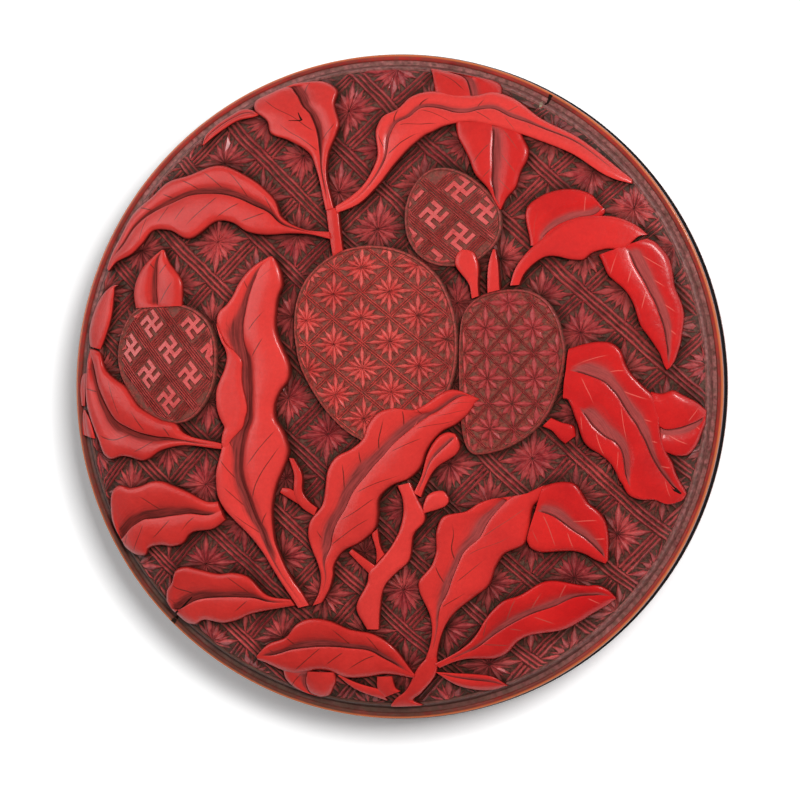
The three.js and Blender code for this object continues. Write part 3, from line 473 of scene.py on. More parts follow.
# %% The drawing of the relief
RELIEF = {
    "eleven_oclock_leaf": ("left", 1, [
        (-9.2, 28.9, -7.9, 29.2), (-11.1, 35.7, -9.4, 35.7), (-12.3, 38.1, -9.2, 38.3, 0.55),
        (-16.3, 40.5, -8.1, 41.6, 0.62), (-19.6, 41.8, -7.8, 43.4, 0.66), (-20.4, 43.7, -8.5, 45.2, 0.64),
        (-23.1, 45.9, -8.9, 46.9, 0.6), (-23.2, 47.4, -8.7, 48.8, 0.52), (-21.5, 48.2, -10.4, 50.1, 0.45),
        (-20.1, 48.8, -15.7, 50.4),
    ]),
    "ten_oclock_leaf": ("left", 1, [
        (-8.2, 24.1, -8.5, 25.3), (-11.7, 24.9, -12.9, 25.8), (-15.4, 25.1, -16.7, 27.8, 0.45),
        (-19.5, 24.9, -18.1, 30.6, 0.6), (-22.5, 25.4, -20.6, 33, 0.56), (-25.4, 27, -24.3, 35.2),
        (-27.9, 27.3, -27.7, 36.5, 0.48), (-33.4, 24.4, -34.2, 34.9, 0.66),
        (-36.6, 25.8, -37.9, 33.9, 0.52), (-39.6, 25.9, -40.5, 31.7), (-41.9, 23.6, -44.3, 28.7, 0.57),
        (-44.3, 21.7, -46.6, 24.7, 0.55), (-46.6, 20.8, -47.7, 22.7), (-48.1, 19.3, -48.7, 19.7),
    ]),
    "one_oclock_leaf": ("right", 1, [
        (-7.5, 29.5, -7.2, 28.4), (-4.8, 31.3, -3.8, 29.8), (-2.3, 34, -0.3, 33.2), (-0.9, 37.5, 1.9, 36.2),
        (-1.3, 42.5, 5.1, 39.7, 0.4), (-0.4, 44.3, 6.7, 41, 0.36), (1.9, 45.5, 8.1, 41.7, 0.36),
        (4.1, 47.6, 9.7, 42.5, 0.38), (6.6, 48.4, 11.1, 42.9, 0.52), (9.4, 48.3, 12.7, 43.2, 0.68),
        (12.3, 47.8, 14.6, 43.2, 0.65), (14.6, 47.7, 16.4, 42.9, 0.51), (17.3, 48.3, 18.3, 42.5),
        (20.1, 47.5, 20.7, 41.8, 0.59), (25.5, 43.8, 25.3, 40.2, 0.41), (31.3, 40.8, 30.5, 38.1, 0.3),
        (38.7, 35.1, 38, 33.7, 0.3), (40.3, 33.8, 40.3, 33.1, 0.3),
    ]),
    "rim_tip": ("left", 0.7, [
        (8.2, 46.9, 18.8, 46.9, 0.55), (7.2, 50.5, 18.1, 49.6, 0.52), (6.4, 52.4, 11.4, 51.5, 0.6),
    ]),
    "hanging_leaf": ("right", 0.8, [
        (22.4, 43, 11.6, 43.3, 0.43), (22.7, 41, 12.2, 40.9, 0.45), (23.9, 38.5, 13.4, 38.8, 0.56),
        (23.7, 36.9, 14.4, 36.9, 0.6), (22.9, 35.2, 15.2, 35, 0.61), (21.9, 32.1, 17.7, 32.1, 0.8),
        (20.8, 30.8, 18.5, 30.7, 0.8), (19.9, 28.8, 19.7, 28.8),
    ]),
    "back_leaf": ("right", 0.78, [
        (24.8, 22.9, 26.8, 22.9, 0.6), (24.3, 29.6, 31.5, 26.3, 0.84, 2.3),
        (25.6, 30.7, 32.8, 26.8, 0.86, 2.3), (32.8, 31.9, 35.9, 27.7, 0.85, 2.3),
        (34.2, 31.3, 36.3, 28.1, 0.8), (35.3, 30.1, 36.5, 28.7, 0.8),
    ]),
    "two_oclock_fold": ("none", 1, [
        (21.7, 16.4, 23.2, 16.5), (22.4, 18.8, 23.9, 18.2), (24.8, 22.3, 26.7, 20.8),
        (28.3, 25.2, 29.3, 21.1), (30.3, 26.7, 31.4, 20.6), (32.8, 27.6, 33.4, 20.6),
        (35.5, 27.8, 34.8, 21.7), (37.7, 27.7, 36.8, 22.3), (41.5, 26.2, 40.1, 22.6),
        (43.3, 24.7, 41.8, 24.5),
    ]),
    "two_oclock_leaf": ("right", 0.8, [
        (43.2, 24.1, 35.7, 21.3, 0.46, 1.2), (44.3, 23.6, 36.1, 20.6, 0.49, 1.2),
        (45.4, 22.5, 36.6, 19.5, 0.52, 1.2), (46.4, 21.2, 37.2, 18.2, 0.54, 1.2),
        (47, 19.7, 38.2, 17.2, 0.55, 1.2), (47.3, 18.1, 39.6, 16, 0.56, 1.2),
        (47.6, 16.3, 40.8, 14.5, 0.56, 1.2), (48.1, 15, 41.5, 13, 0.54, 1.2),
        (48.7, 13.6, 42, 11.3, 0.53, 1.2), (49.1, 11.9, 42.6, 9.7, 0.52, 1.2),
        (49.1, 10.3, 43.7, 8.2, 0.54, 1.2), (48.9, 8.7, 44.7, 6.7, 0.58, 1.3), (48.7, 7.1, 45.5, 5.4, 0.62),
        (48.3, 5.6, 45.9, 4.3, 0.62), (47.9, 4.3, 46.3, 3.3, 0.6), (47.3, 3.2, 46.7, 2.7, 0.55),
    ]),
    "four_oclock_leaf": ("right", 1, [
        (31.3, 6.2, 30.4, -2, 0.44), (34, 7, 31.2, -2.3), (35.9, 7.3, 31.8, -3.6, 0.49, 1.25, 0, 0.88),
        (37.6, 7.2, 32.2, -4.8, 0.47, 1.25, 0, 0.87), (38.9, 6.5, 32.7, -6.1, 0.43, 1.25, 0, 0.85, 0.3),
        (39.7, 5.4, 33.1, -7.5, 0.38, 1.25, 0, 0.82, 0.8), (40.2, 3.8, 33.7, -9, 0.33, 1.25, 0, 0.79, 1),
        (41, 2.3, 34.6, -10, 0.31, 1.25, 0, 0.78, 1), (42.2, 0.9, 35.9, -10.8, 0.35, 1.25, 0, 0.785, 1),
        (43.5, -0.4, 37.1, -11.7, 0.39, 1.25, 0, 0.765, 1),
        (44.6, -1.5, 38, -12.7, 0.41, 1.25, 0, 0.775, 1), (45.2, -3.2, 38.7, -14, 0.4, 1.25, 0, 0.815, 1),
        (45.6, -4.6, 39.2, -15.2, 0.38, 1.25, 0, 0.86, 0.8),
        (45.6, -6.4, 39.6, -15.8, 0.34, 1.25, 0, 0.88, 0.5), (45.8, -8.3, 40.6, -17.6, 0.31, 1.25, 0, 0.9),
        (46.5, -10.6, 42.5, -18.4, 0.33), (47.4, -12.4, 44.6, -18.5, 0.4), (47.9, -14.2, 46.4, -19.2, 0.4),
        (48.6, -15.8, 47.9, -18.9, 0.42), (49.1, -16.8, 48.9, -18.3), (49.3, -17.4, 49.2, -17.7),
    ]),
    "right_rim_leaf": ("left", 0.7, [
        (44.2, -0.8, 45, -11.2, 0.45), (45.8, -1.1, 46.4, -10.8, 0.59), (47.6, -0.6, 47.9, -11.3, 0.58),
        (49.1, -1.4, 49.6, -11.2, 0.51), (50.6, -2.2, 50.6, -10.2, 0.46), (52.5, -3.9, 52.3, -6.1, 0.42),
    ]),
    "five_oclock_leaf": ("right", 0.8, [
        (6.4, -45.1, 8.5, -44.5), (7.6, -42.4, 9, -42.4), (8.1, -39.5, 10.1, -39.5),
        (7.9, -37.7, 11.1, -37.9, 0.45), (6.2, -33.2, 15.5, -34.2, 0.52), (6.2, -31.9, 17.4, -32.8, 0.48),
        (8.5, -29, 19.1, -29.2, 0.42), (9.2, -27.1, 20.2, -27.5, 0.42), (9.4, -23.4, 23.8, -25.5, 0.51),
        (10.3, -21.4, 24.5, -23.5, 0.53), (14.5, -20.2, 25.3, -19.5), (16.8, -18.8, 26.5, -18.2, 0.45),
        (19.7, -18.2, 27.1, -17, 0.35), (22.2, -18.7, 27.2, -16.1, 0.1), (24.8, -17.1, 27.1, -16.1, 0.1),
    ]),
    "five_oclock_tip": ("right", 1, [
        (27.1, -16.1, 24.2, -25.2, 0.45), (29.4, -15.5, 24.7, -26.2, 0.47), (31.7, -15.6, 26, -26.9),
        (34.4, -19.1, 29.9, -26.8, 0.57), (35.9, -20.4, 31.9, -26.8, 0.64),
        (36.8, -21.9, 33.5, -27.3, 0.68), (37.2, -24, 34.8, -28.1, 0.66), (37, -28.2, 36.6, -28.8),
    ]),
    "low_five_oclock_leaf": ("right", 1, [
        (8.2, -45.4, 9, -46.1), (10.5, -44.3, 11.1, -45.2), (12.7, -43, 13.3, -44.6),
        (15.7, -40, 18.4, -44.4, 0.4), (16.8, -38.2, 20.2, -43.5, 0.45), (18.3, -36.4, 21.8, -41.8, 0.55),
        (20.1, -34.9, 23.5, -40.8, 0.58), (22.5, -34.1, 25.3, -40.4, 0.52),
        (26.9, -31.7, 29.4, -39.7, 0.52), (33.5, -32.4, 35, -36.5, 0.4), (35.3, -32.4, 36.5, -35.6),
        (36.8, -33.2, 37.4, -34.9, 0.6), (37.8, -34.4, 37.8, -34.7),
    ]),
    "lower_rim_leaf": ("right", 0.8, [
        (8.3, -46.8, 8.5, -47.1, 0.4), (11.9, -47, 11.4, -49, 0.4), (14.2, -47.1, 13.2, -49.6, 0.4),
        (17.8, -47.8, 17.2, -49.8, 0.4), (19.5, -49.1, 19.3, -49.1, 0.4),
    ]),
    "six_oclock_leaf": ("left", 1, [
        (4.6, -47.8, 4.7, -47.2), (-0.9, -47.3, 0.7, -42), (-2.9, -47.7, -1.4, -40.7, 0.59),
        (-6.9, -47.9, -5.7, -39.8, 0.61), (-10.1, -46.8, -9.3, -38.4, 0.48),
        (-11.9, -46.7, -11.2, -38.1, 0.45), (-14, -47.1, -13.2, -38.3, 0.46), (-15.9, -47.4, -14.9, -39.2),
        (-17.8, -47, -16.6, -41.1, 0.55), (-20.9, -45.7, -20.4, -42.7, 0.4), (-22.3, -45.1, -22.3, -44.5),
    ]),
    "middle_leaf": ("right", 1, [
        (-11.8, -36, -10.1, -35.4), (-10.5, -33.6, -8.8, -33.2), (-10.1, -31.2, -8.1, -31.1),
        (-10.6, -29, -7.9, -29.3), (-11.5, -26.7, -6.5, -27.2, 0.6, 1.1),
        (-12.1, -24, -3, -25.3, 0.47, 1.1), (-11.6, -21.9, -0.8, -23.3, 0.42, 1.1),
        (-9.6, -19.4, -0.2, -20.9, 0.43, 1.15), (-9, -16.7, 0, -18.3, 0.52, 1.15),
        (-8.6, -13.9, 2, -16.3, 0.57, 1.2), (-7.1, -11.5, 5.1, -15, 0.51, 1.25),
        (-4.4, -10.1, 7.1, -13, 0.46, 1.4), (-2.5, -8.4, 8, -10.5, 0.49, 1.6),
        (-1.8, -6.4, 9.2, -8.7, 0.58, 1.8), (-0.1, -4.3, 10.8, -7.2, 0.62), (2.5, -3.5, 12.7, -6.3, 0.56),
        (5.6, -3.8, 14.4, -5, 0.44), (12.8, -0.5, 16.3, -2.5), (16.7, -1.9, 16.8, -2.1),
    ]),
    "upright_leaf": ("right", 1, [
        (-14.3, -36.4, -12.4, -35.9), (-15.7, -34.2, -13.6, -33.8), (-17, -32.2, -14.9, -32),
        (-18.4, -29.9, -16.2, -29.7), (-19.7, -27.7, -17.3, -27.1, 0.5, 1.9, 0.8),
        (-21.2, -25.7, -17.9, -25.4, 0.61, 1.9, 0.8), (-22.7, -24, -18.1, -23.8, 0.64, 1.9, 0.8),
        (-24.6, -22.2, -18.2, -22, 0.6, 1.9, 0.8), (-26.5, -20.2, -18.2, -20.2, 0.6, 1.9, 0.8),
        (-27.6, -18.2, -17.9, -18.2, 0.55, 1.9, 0.8), (-27.9, -16, -17.3, -16, 0.45, 1.9, 0.8),
        (-27.8, -13.8, -16.3, -13.8, 0.37, 1.7, 0.8), (-27.3, -12, -15.5, -11.9, 0.32, 1.5, 0.8),
        (-26.8, -10.3, -15.2, -10.3, 0.29, 1, 0.9), (-26.2, -8.7, -15.6, -8.7, 0.29, 0.5, 0.9),
        (-25.8, -7.2, -16.2, -7.2, 0.32, 0.5, 0.9), (-25.9, -5.2, -17.4, -5.3, 0.46, 0.5, 0.9),
        (-26.3, -2.9, -17.5, -2.9, 0.5, 0.5, 0.9), (-26.3, -0.9, -16.7, -0.9, 0.46, 0.5, 0.9),
        (-25.8, 1.1, -15.2, 1.1, 0.36, 0.5, 0.9), (-24.9, 2.9, -15, 2.9, 0.29, 0.45, 0.9),
        (-24.7, 4.5, -15.3, 4.3, 0.27, 0.4, 0.8), (-25.3, 6, -16, 5.8, 0.31, 0.4, 0.5),
        (-26.4, 7.6, -16.8, 7.5, 0.38, 0.45, 0.3), (-27.3, 9.3, -17.4, 9.3, 0.45, 0.6, 0.15),
        (-27.7, 10.7, -17.5, 10.7, 0.48, 1, 0.1), (-27.3, 12.3, -17.4, 12.4, 0.49, 1.5),
        (-26.1, 13.4, -17.3, 13.7, 0.44, 1.6), (-24.9, 15, -17, 15, 0.38, 1.6),
        (-24.1, 16.7, -16.4, 16.6, 0.36, 1.7), (-23.2, 18, -16.5, 17.9, 0.36),
        (-22, 19.3, -16.9, 19.3, 0.35), (-20.7, 20.3, -17.4, 20.3, 0.4), (-19.5, 20.9, -17.8, 20.9),
        (-18.5, 21.4, -18.1, 21.3),
    ]),
    "upright_lobe": ("none", 1.02, [
        (-26.3, -10.9, -25.9, -10.7), (-26.7, -9.3, -25.3, -9.2), (-26.6, -7.8, -24, -7.8),
        (-26.3, -6.7, -23, -6.7), (-26.9, -5.5, -22.6, -5.3), (-27.5, -3.9, -22.2, -3.9),
        (-27.7, -2.2, -22.4, -2.2), (-27.6, -0.6, -22.8, -0.6), (-27, 1.1, -23.1, 1.1),
        (-26.2, 2.9, -23.1, 2.7), (-25.8, 4.5, -23.1, 4.2), (-26, 6, -24.3, 5.7), (-26.8, 7.6, -26, 7.1),
        (-27.4, 9.3, -26.9, 8.8), (-27.7, 10.4, -27.5, 10.1),
    ]),
    "nine_oclock_leaf": ("right", 1, [
        (-26.7, -10.3, -26.7, -9.4), (-35.1, -9.9, -33.8, -7.4), (-37.7, -10.6, -35, -6.1),
        (-39.8, -11.9, -37.6, -5.5, 0.58), (-41.4, -12.3, -39.9, -4.4, 0.57),
        (-43.3, -11.8, -41.8, -3.2, 0.53), (-45.2, -11.6, -43.2, -1.4), (-47.4, -12.1, -44.5, 0.2, 0.53),
        (-48.6, -11.4, -45.8, 1, 0.57), (-49.5, -9.4, -47.4, 2.1, 0.61), (-52.3, -1.8, -49.5, 5.8, 0.68),
        (-52.1, 3.2, -51.3, 6.3, 0.8),
    ]),
    "nine_oclock_tip": ("none", 0.75, [
        (-51.6, 6.7, -49.3, 6.2), (-52, 8.2, -48.7, 7.5), (-51.3, 12, -47.3, 11.5),
        (-49.2, 15.4, -46.9, 15.3), (-47.7, 16.5, -46.7, 16.6), (-46.8, 16.9, -46, 16.8),
    ]),
    "nine_oclock_edge": ("none", 0.62, [
        (-53.5, -8.1, -50.6, -8.7), (-53.6, -6, -51.2, -6.5), (-53.5, -4.7, -51.9, -5),
        (-53.2, -3.9, -52.8, -4),
    ]),
    "nine_oclock_edge_top": ("none", 0.62, [
        (-53.7, -3.2, -52.8, -3.3), (-54, -1, -52.6, -1.4), (-53.9, 0.6, -52.3, 0.4),
        (-53.5, 1.8, -52, 1.7), (-53.1, 2.2, -52.2, 2.2),
    ]),
    "eight_oclock_leaf": ("left", 1, [
        (-26.4, -22, -27.7, -18.9), (-28.3, -23.3, -29.3, -19), (-32.9, -24.4, -33.4, -17.2, 0.47),
        (-34.2, -25.9, -35.5, -16.4, 0.49), (-36.2, -26.5, -37.5, -15.7, 0.46),
        (-38.5, -26.3, -39.6, -15.7, 0.42), (-40.8, -26.9, -41.8, -16.5, 0.46),
        (-41.5, -28, -43.7, -16.8, 0.47), (-43.5, -28, -45.9, -16.4, 0.35),
        (-45.3, -27.1, -47.4, -17.5, 0.2), (-45.8, -26.3, -47.9, -20.3, 0.15),
        (-46.1, -25.8, -47.8, -22.5, 0.15), (-46.6, -24.9, -47.3, -23.5, 0.2),
    ]),
    "low_eight_oclock_leaf": ("left", 0.95, [
        (-14.8, -36, -15.5, -35), (-19.3, -36.8, -19.7, -34.3, 0.55), (-23.2, -37.7, -23.3, -31.1, 0.44),
        (-25, -38.5, -25.5, -30.7, 0.48), (-27.4, -39.1, -27.8, -30.9, 0.52),
        (-31.9, -38.8, -32.2, -30.1, 0.4), (-33.2, -39.5, -34.2, -29.8, 0.37),
        (-34.9, -39.3, -36, -30.5, 0.29), (-36.2, -38.4, -36.9, -32.5, 0.22),
        (-36.9, -37.8, -38, -33.8, 0.2), (-37.3, -37.4, -38.4, -35.5, 0.2),
    ]),
    "left_back_leaf": ("right", 0.7, [
        (-42.7, 13, -34, 13.3, 0.52), (-43.1, 15.5, -34, 15.9), (-42.9, 16.9, -34.1, 17.2, 0.49),
        (-40.8, 20.6, -36.7, 20.7, 0.54), (-38.1, 22.6, -37.6, 22.6),
    ]),
    "upper_rim_leaf": ("right", 0.7, [
        (-32, 40.2, -31.8, 40), (-31.7, 41.7, -30.5, 41.1), (-30.6, 43, -29, 42.2),
        (-27.4, 45.1, -25.7, 44.1), (-25.7, 46, -24.1, 44.4), (-23.6, 45.8, -22.9, 44.6),
        (-22.4, 45.2, -22.2, 44.9),
    ]),
    "bottom_tip": ("left", 0.75, [
        (-9, -47.1, -18.1, -46.9), (-8.9, -48.4, -17.9, -48.3, 0.57), (-9.6, -49.8, -16.7, -49.7, 0.62),
        (-10.4, -50.9, -15.3, -50.5, 0.66), (-12, -51.4, -12.5, -51.3),
    ]),
    "twig_leaf": ("right", 0.8, [
        (5.8, -17.3, 7, -18), (7, -15, 7.9, -15.9), (8.2, -10.8, 10, -12.9), (9.1, -9.1, 11.8, -11.8),
        (10.4, -7.8, 13.1, -10.7), (11.8, -7.4, 13.5, -9.4), (12.7, -7.7, 13.2, -8.5),
    ]),
    "twig_leaf_2": ("none", 0.75, [
        (7.4, -19.2, 7.4, -20.7), (8, -17.8, 8.8, -20.3), (9.6, -17, 10.1, -19.9),
        (10.8, -17.1, 11.1, -19.4), (11.5, -18, 11.5, -18.8),
    ]),
    "sepal": ("none", 0.95, [
        (15.5, 14.3, 16.6, 14.7), (15.2, 16.2, 16.5, 16.3), (12.6, 20.5, 16.2, 20.8),
        (12.9, 21.6, 15.7, 21.8), (13.7, 22.3, 14.9, 22.2),
    ]),
    "sepal_2": ("none", 0.95, [
        (18, 15.2, 20, 15.7), (18.2, 19.9, 19.7, 20.1), (18.8, 22.3, 19.2, 22.3),
    ]),
    "sepal_3": ("none", 0.7, [
        (28.4, -5.1, 27, -6.5), (30, -5.8, 28.4, -7.1), (32, -6.5, 29.7, -8.6), (32.3, -8, 30.6, -9.3),
    ]),
    "tendril": ("none", 0.75, [
        (-11, -21.2, -10.5, -19.9), (-13, -19.9, -12, -18.7), (-14.1, -18.6, -12.8, -17.6),
        (-14.4, -14.1, -13.1, -14.1), (-15.2, -11.7, -14.4, -11.8),
    ]),
    "tendril_fork": ("none", 0.7, [
        (-13.5, -19.4, -13.5, -18), (-15.2, -18.4, -14.9, -16.8), (-16.8, -17.4, -16.4, -16.6),
    ]),
    "middle_branch": ("none", 0.85, [
        (-2.8, -39.8, -0.8, -39.8), (-4.4, -36.5, -0.4, -36.3), (-2.3, -31.9, 0.9, -32.1),
        (-2, -30.3, 2.6, -30.4), (-0.9, -29.2, 4.5, -28.8), (2.1, -25.7, 5.8, -23.9),
        (3.3, -23.4, 7.4, -22.1), (4, -20.4, 7.4, -20.3), (3.9, -18.3, 6.5, -18.5),
        (3.1, -16.2, 5.2, -15.7),
    ]),
    "middle_twig": ("none", 0.75, [
        (-1.8, -30.8, -0.8, -29.4), (-5.3, -27.2, -4.7, -26.6),
    ]),
    "middle_twig_2": ("none", 0.75, [
        (-0.8, -29, 0.7, -27.4), (-0.6, -27.4, 0.2, -26.5), (-1.4, -24.1, -0.4, -23.3),
    ]),
    "main_branch": ("none", 0.9, [
        (0.9, -52.8, 4.8, -52.6), (-0.2, -52.8, 5.2, -52.4), (0.6, -51.7, 3.9, -51.8),
        (2.6, -50.2, 5.3, -50.4), (5.5, -45.8, 8.5, -46.1), (6.5, -44.8, 8.6, -44.4),
    ]),
    "branch_knot": ("none", 0.8, [
        (-1.2, -51.3, 1.9, -50.1), (-1.9, -49.9, 1.2, -49.6), (-1.8, -47.7, 0.8, -47.6),
    ]),
    "branch_twig": ("none", 0.75, [
        (-0.6, -51.8, -1.2, -49.9), (-5.9, -49.7, -5.5, -48.7), (-8.5, -47.6, -8.2, -47.5),
    ]),
    "lychee_stem": ("none", 0.8, [
        (-7.9, 21.3, -6.2, 22.3), (-9.3, 29.3, -7.2, 29.2),
    ]),
}
print(len(RELIEF), "carved pieces")

# %% [markdown]
# A leaf is a grid: lines run along it through the rows, and other lines run across it. The lines along
# gather at the outer edges, which are rounded over, and at the crisp edge, which drops straight down to
# the fold. The same grid carries the values that the finish reads.

# %% Leaf builder
LEAF_STEP = 0.32


def smooth_rows(rows):
    """Points of a smooth curve through the rows, about one step apart along the piece."""
    rows = np.array(rows, dtype=float)
    middle = (rows[:, 0:2] + rows[:, 2:4]) / 2
    edge = np.maximum(np.linalg.norm(np.diff(rows[:, 0:2], axis=0), axis=1),
                      np.linalg.norm(np.diff(rows[:, 2:4], axis=0), axis=1))
    gap = np.maximum((np.linalg.norm(np.diff(middle, axis=0), axis=1) + edge) / 2, 0.2)
    t = np.concatenate([[0.0], np.cumsum(gap)])
    slope = np.gradient(rows, t, axis=0) if len(rows) > 2 else np.repeat(
        (rows[1:] - rows[:1]) / t[1], 2, axis=0)
    fine = np.linspace(0, t[-1], max(6, int(t[-1] / LEAF_STEP)))
    k = np.clip(np.searchsorted(t, fine, side="right") - 1, 0, len(t) - 2)
    h = (t[k + 1] - t[k])[:, None]
    u = ((fine - t[k])[:, None]) / h
    a, b = rows[k], rows[k + 1]
    ma, mb = slope[k] * h, slope[k + 1] * h
    curve = ((2 * u ** 3 - 3 * u ** 2 + 1) * a + (u ** 3 - 2 * u ** 2 + u) * ma
             + (3 * u ** 2 - 2 * u ** 3) * b + (u ** 3 - u ** 2) * mb)
    return curve, fine


def ease(t):
    t = np.clip(t, 0, 1)
    return t * t * (3 - 2 * t)


EDGE_ROUND = 1.1
EDGE_DROP = 0.68
FOLD_DEPTH = 1.15
SWELL = 0.42
OUTER_SWELL = 0.24
VEIN_PITCH = 4.9
VEIN_SLANT = 1.3
FACET_POINTS = 20
# A leaf of this width has folds of full depth, and a rounded edge of full depth from this width on
FULL_WIDTH = 7.0
FULL_EDGE_WIDTH = 3.2
SWELL_WIDTH = 5.0
LIP_WIDTH = 0.35
CREASE_WIDTH = 0.5
HOLLOW_GAIN = 2.2
SECOND_SLOPE = 1.3
LEAST_HEIGHT = 0.25
RELIEF_ROOT = 0.5
# Up to three facets lie across a leaf. Each has room for this many veins, and this share is left out.
FACETS, VEINS, LEFT_OUT = 3, 32, 0.25
# What a row ends with when it stops short: the place of the fold, the slope into it, how far its other
# side dips too, and the place and depth of a second fold
ROW_ENDING = (0.5, 1.9, 0.0, 0.97, 0.0)
DIP_REACH = 1.7
# How strongly each leaf carries a painted sheen: a pale pink wash that stands for broad soft highlights
PAINTED_SHEEN = {"one_oclock_leaf": 0.75, "upright_leaf": 0.6, "upright_lobe": 0.5, "ten_oclock_leaf": 0.3,
        "eleven_oclock_leaf": 0.35, "middle_leaf": 0.35, "five_oclock_leaf": 0.3, "middle_branch": 0.5,
        "twig_leaf": 0.4, "twig_leaf_2": 0.6, "two_oclock_fold": 0.3, "sepal": 0.5, "sepal_2": 0.5,
        "six_oclock_leaf": 0.0, "low_eight_oclock_leaf": 0.0, "low_five_oclock_leaf": 0.0}


def leaf(name, crisp, level, rows, seed):
    """One piece of the relief: a leaf whose left or right half has the crisp edge, or a plain stem."""
    curve, along = smooth_rows([row + ROW_ENDING[len(row) - 4:] for row in rows])
    first, last, fold = curve[:, 0:2], curve[:, 2:4], np.clip(curve[:, 4], 0.06, 0.94)
    if crisp == "left":
        first, last, fold = last, first, 1 - fold
    folded = crisp != "none"
    width = np.linalg.norm(last - first, axis=1)
    length = along[-1]
    ends = ease(along / (0.16 * length)) * ease((length - along) / (0.14 * length))
    arch = 0.86 + 0.14 * np.sin(math.pi * np.clip(along / length, 0, 1)) ** 0.6
    size = np.clip(width / FULL_WIDTH, 0.25, 1.0)
    # Each fold: its place across the leaf, its strength along it, and the slope into it
    folds = [(fold, ends * size, np.maximum(curve[:, 5], 0.35))] if folded else []
    if curve[:, 8].max() > 0:
        second = np.clip(curve[:, 8], 0, 1)
        folds.append((curve[:, 7], second, SECOND_SLOPE / np.clip(second, 0.2, 1)))
    stops = [np.zeros(len(curve))] + [place for place, strength, power in folds] + [np.ones(len(curve))]
    t = np.linspace(0, 1, FACET_POINTS if folded else 2 * FACET_POINTS)
    gathered = 0.5 * (t + (1 - np.cos(math.pi * t)) / 2)

    rng = np.random.default_rng(seed)
    shift = rng.uniform(0, 1, FACETS)
    present = (rng.uniform(0, 1, FACETS * VEINS) > LEFT_OUT).astype(float)
    start, stop = rng.uniform(0.04, 0.2, FACETS * VEINS), rng.uniform(0.62, 0.93, FACETS * VEINS)
    dip = np.clip(curve[:, 6], 0, 1)
    values = {"hollow": [], "wall": [], "vein": [], "vein_mask": [], "off": [], "pale": []}
    columns = len(t) * (len(stops) - 1)
    grid = np.zeros((len(along), columns + 4, 3))
    tone = {key: np.zeros((len(along), columns + 4)) for key in values}
    i = 2
    for facet in range(len(stops) - 1):
        outer_start, outer_end = facet == 0, facet == len(folds)
        reach = (stops[facet + 1] - stops[facet]) * width
        swollen = np.clip(reach / SWELL_WIDTH, 0, 1)
        for b in gathered:
            across = stops[facet] + (stops[facet + 1] - stops[facet]) * b
            xy = first + (last - first) * across[:, None]
            drop, hollow = np.zeros_like(reach), np.zeros_like(reach)
            edge_rounding = EDGE_DROP * np.clip(width / FULL_EDGE_WIDTH, 0.35, 1.0)
            for outer, inset in ((outer_start, b * reach), (outer_end, (1 - b) * reach)):
                if outer:
                    near = 1 - np.minimum(inset / EDGE_ROUND, 1.0)
                    drop += edge_rounding * (1 - np.sqrt(1 - near ** 2))
            if not outer_start:
                strength = folds[facet - 1][1]
                lip = np.clip(1 - b * reach / LIP_WIDTH, 0, 1)
                slope = dip * np.clip(1 - b * reach / DIP_REACH, 0, 1) ** 1.4
                drop += strength * ((1 - dip) * 0.10 * lip ** 2 + FOLD_DEPTH * slope)
                drop -= SWELL * math.sin(math.pi * b) * swollen
                hollow = np.clip(strength * HOLLOW_GAIN, 0, 1) * ease((slope - 0.15) / 0.4)
            if not outer_end:
                place, strength, power = folds[facet]
                well = b ** power
                drop = drop * (1 - b) + FOLD_DEPTH * strength * well
                shown = np.clip(strength * HOLLOW_GAIN, 0, 1)
                hollow = shown * (0.7 * ease((well - 0.48) / 0.2) + 0.3 * ease((well - 0.10) / 0.5))
                # Next to the crease the value climbs past 1, where the finish paints the shadow of the crisp
                # edge.
                hollow += shown * ease(1 - (1 - b) * reach / CREASE_WIDTH)
                drop -= OUTER_SWELL * math.sin(math.pi * b) ** 2 * swollen
            ground, face = ground_height(*xy.T), face_height(*xy.T)
            off, far = ((1 - b) * reach, 1 - b) if facet == 0 else (b * reach, b)
            phase = (along - VEIN_SLANT * off - 0.02 * off ** 2) / VEIN_PITCH + shift[facet]
            number = np.floor(phase + 8).astype(int) % VEINS + VEINS * facet
            mask = (present[number] * ease((far - start[number]) / 0.06)
                    * ease((stop[number] - far) / 0.16) * ends * (reach > 2.2) * folded)
            height = ground + (face - ground) * level * arch - drop
            grid[:, i] = np.column_stack([xy, np.maximum(height, ground + LEAST_HEIGHT)])
            tone["hollow"][:, i] = hollow
            tone["vein"][:, i] = phase
            tone["off"][:, i] = off * (1 if facet == 0 else -1)
            tone["vein_mask"][:, i] = mask * (hollow < 0.6)
            i += 1
    for edge, outside, inner, step in ((first, 0, 2, 1), (last, columns + 3, columns + 1, -1)):
        ground = ground_height(*edge.T)
        grid[:, outside] = np.column_stack([edge, ground - RELIEF_ROOT])
        grid[:, outside + step] = np.column_stack([edge, ground + 0.35 * (grid[:, inner, 2] - ground)])
        # Painted shade on the walls: dark at the root, and a thin dark outline just inside the rounded top
        # of the edge.
        tone["wall"][:, outside] = 1.0
        tone["wall"][:, outside + step] = 0.75
        tone["wall"][:, inner] = 0.6
        tone["wall"][:, inner + step] = 0.15
    count = columns + 4
    faces = grid_faces(len(along), count, wrap=True)
    tail = (len(along) - 1) * count
    faces += [tuple(range(count)), tuple(tail + k for k in range(count - 1, -1, -1))]
    if crisp != "left":
        faces = [tuple(reversed(f)) for f in faces]
    tone["pale"][:] = PAINTED_SHEEN.get(name, 0.1)
    flat = {key: value.reshape(-1) for key, value in tone.items()}
    return make_object(name, grid.reshape(-1, 3), faces, LEAF, 38, flat)


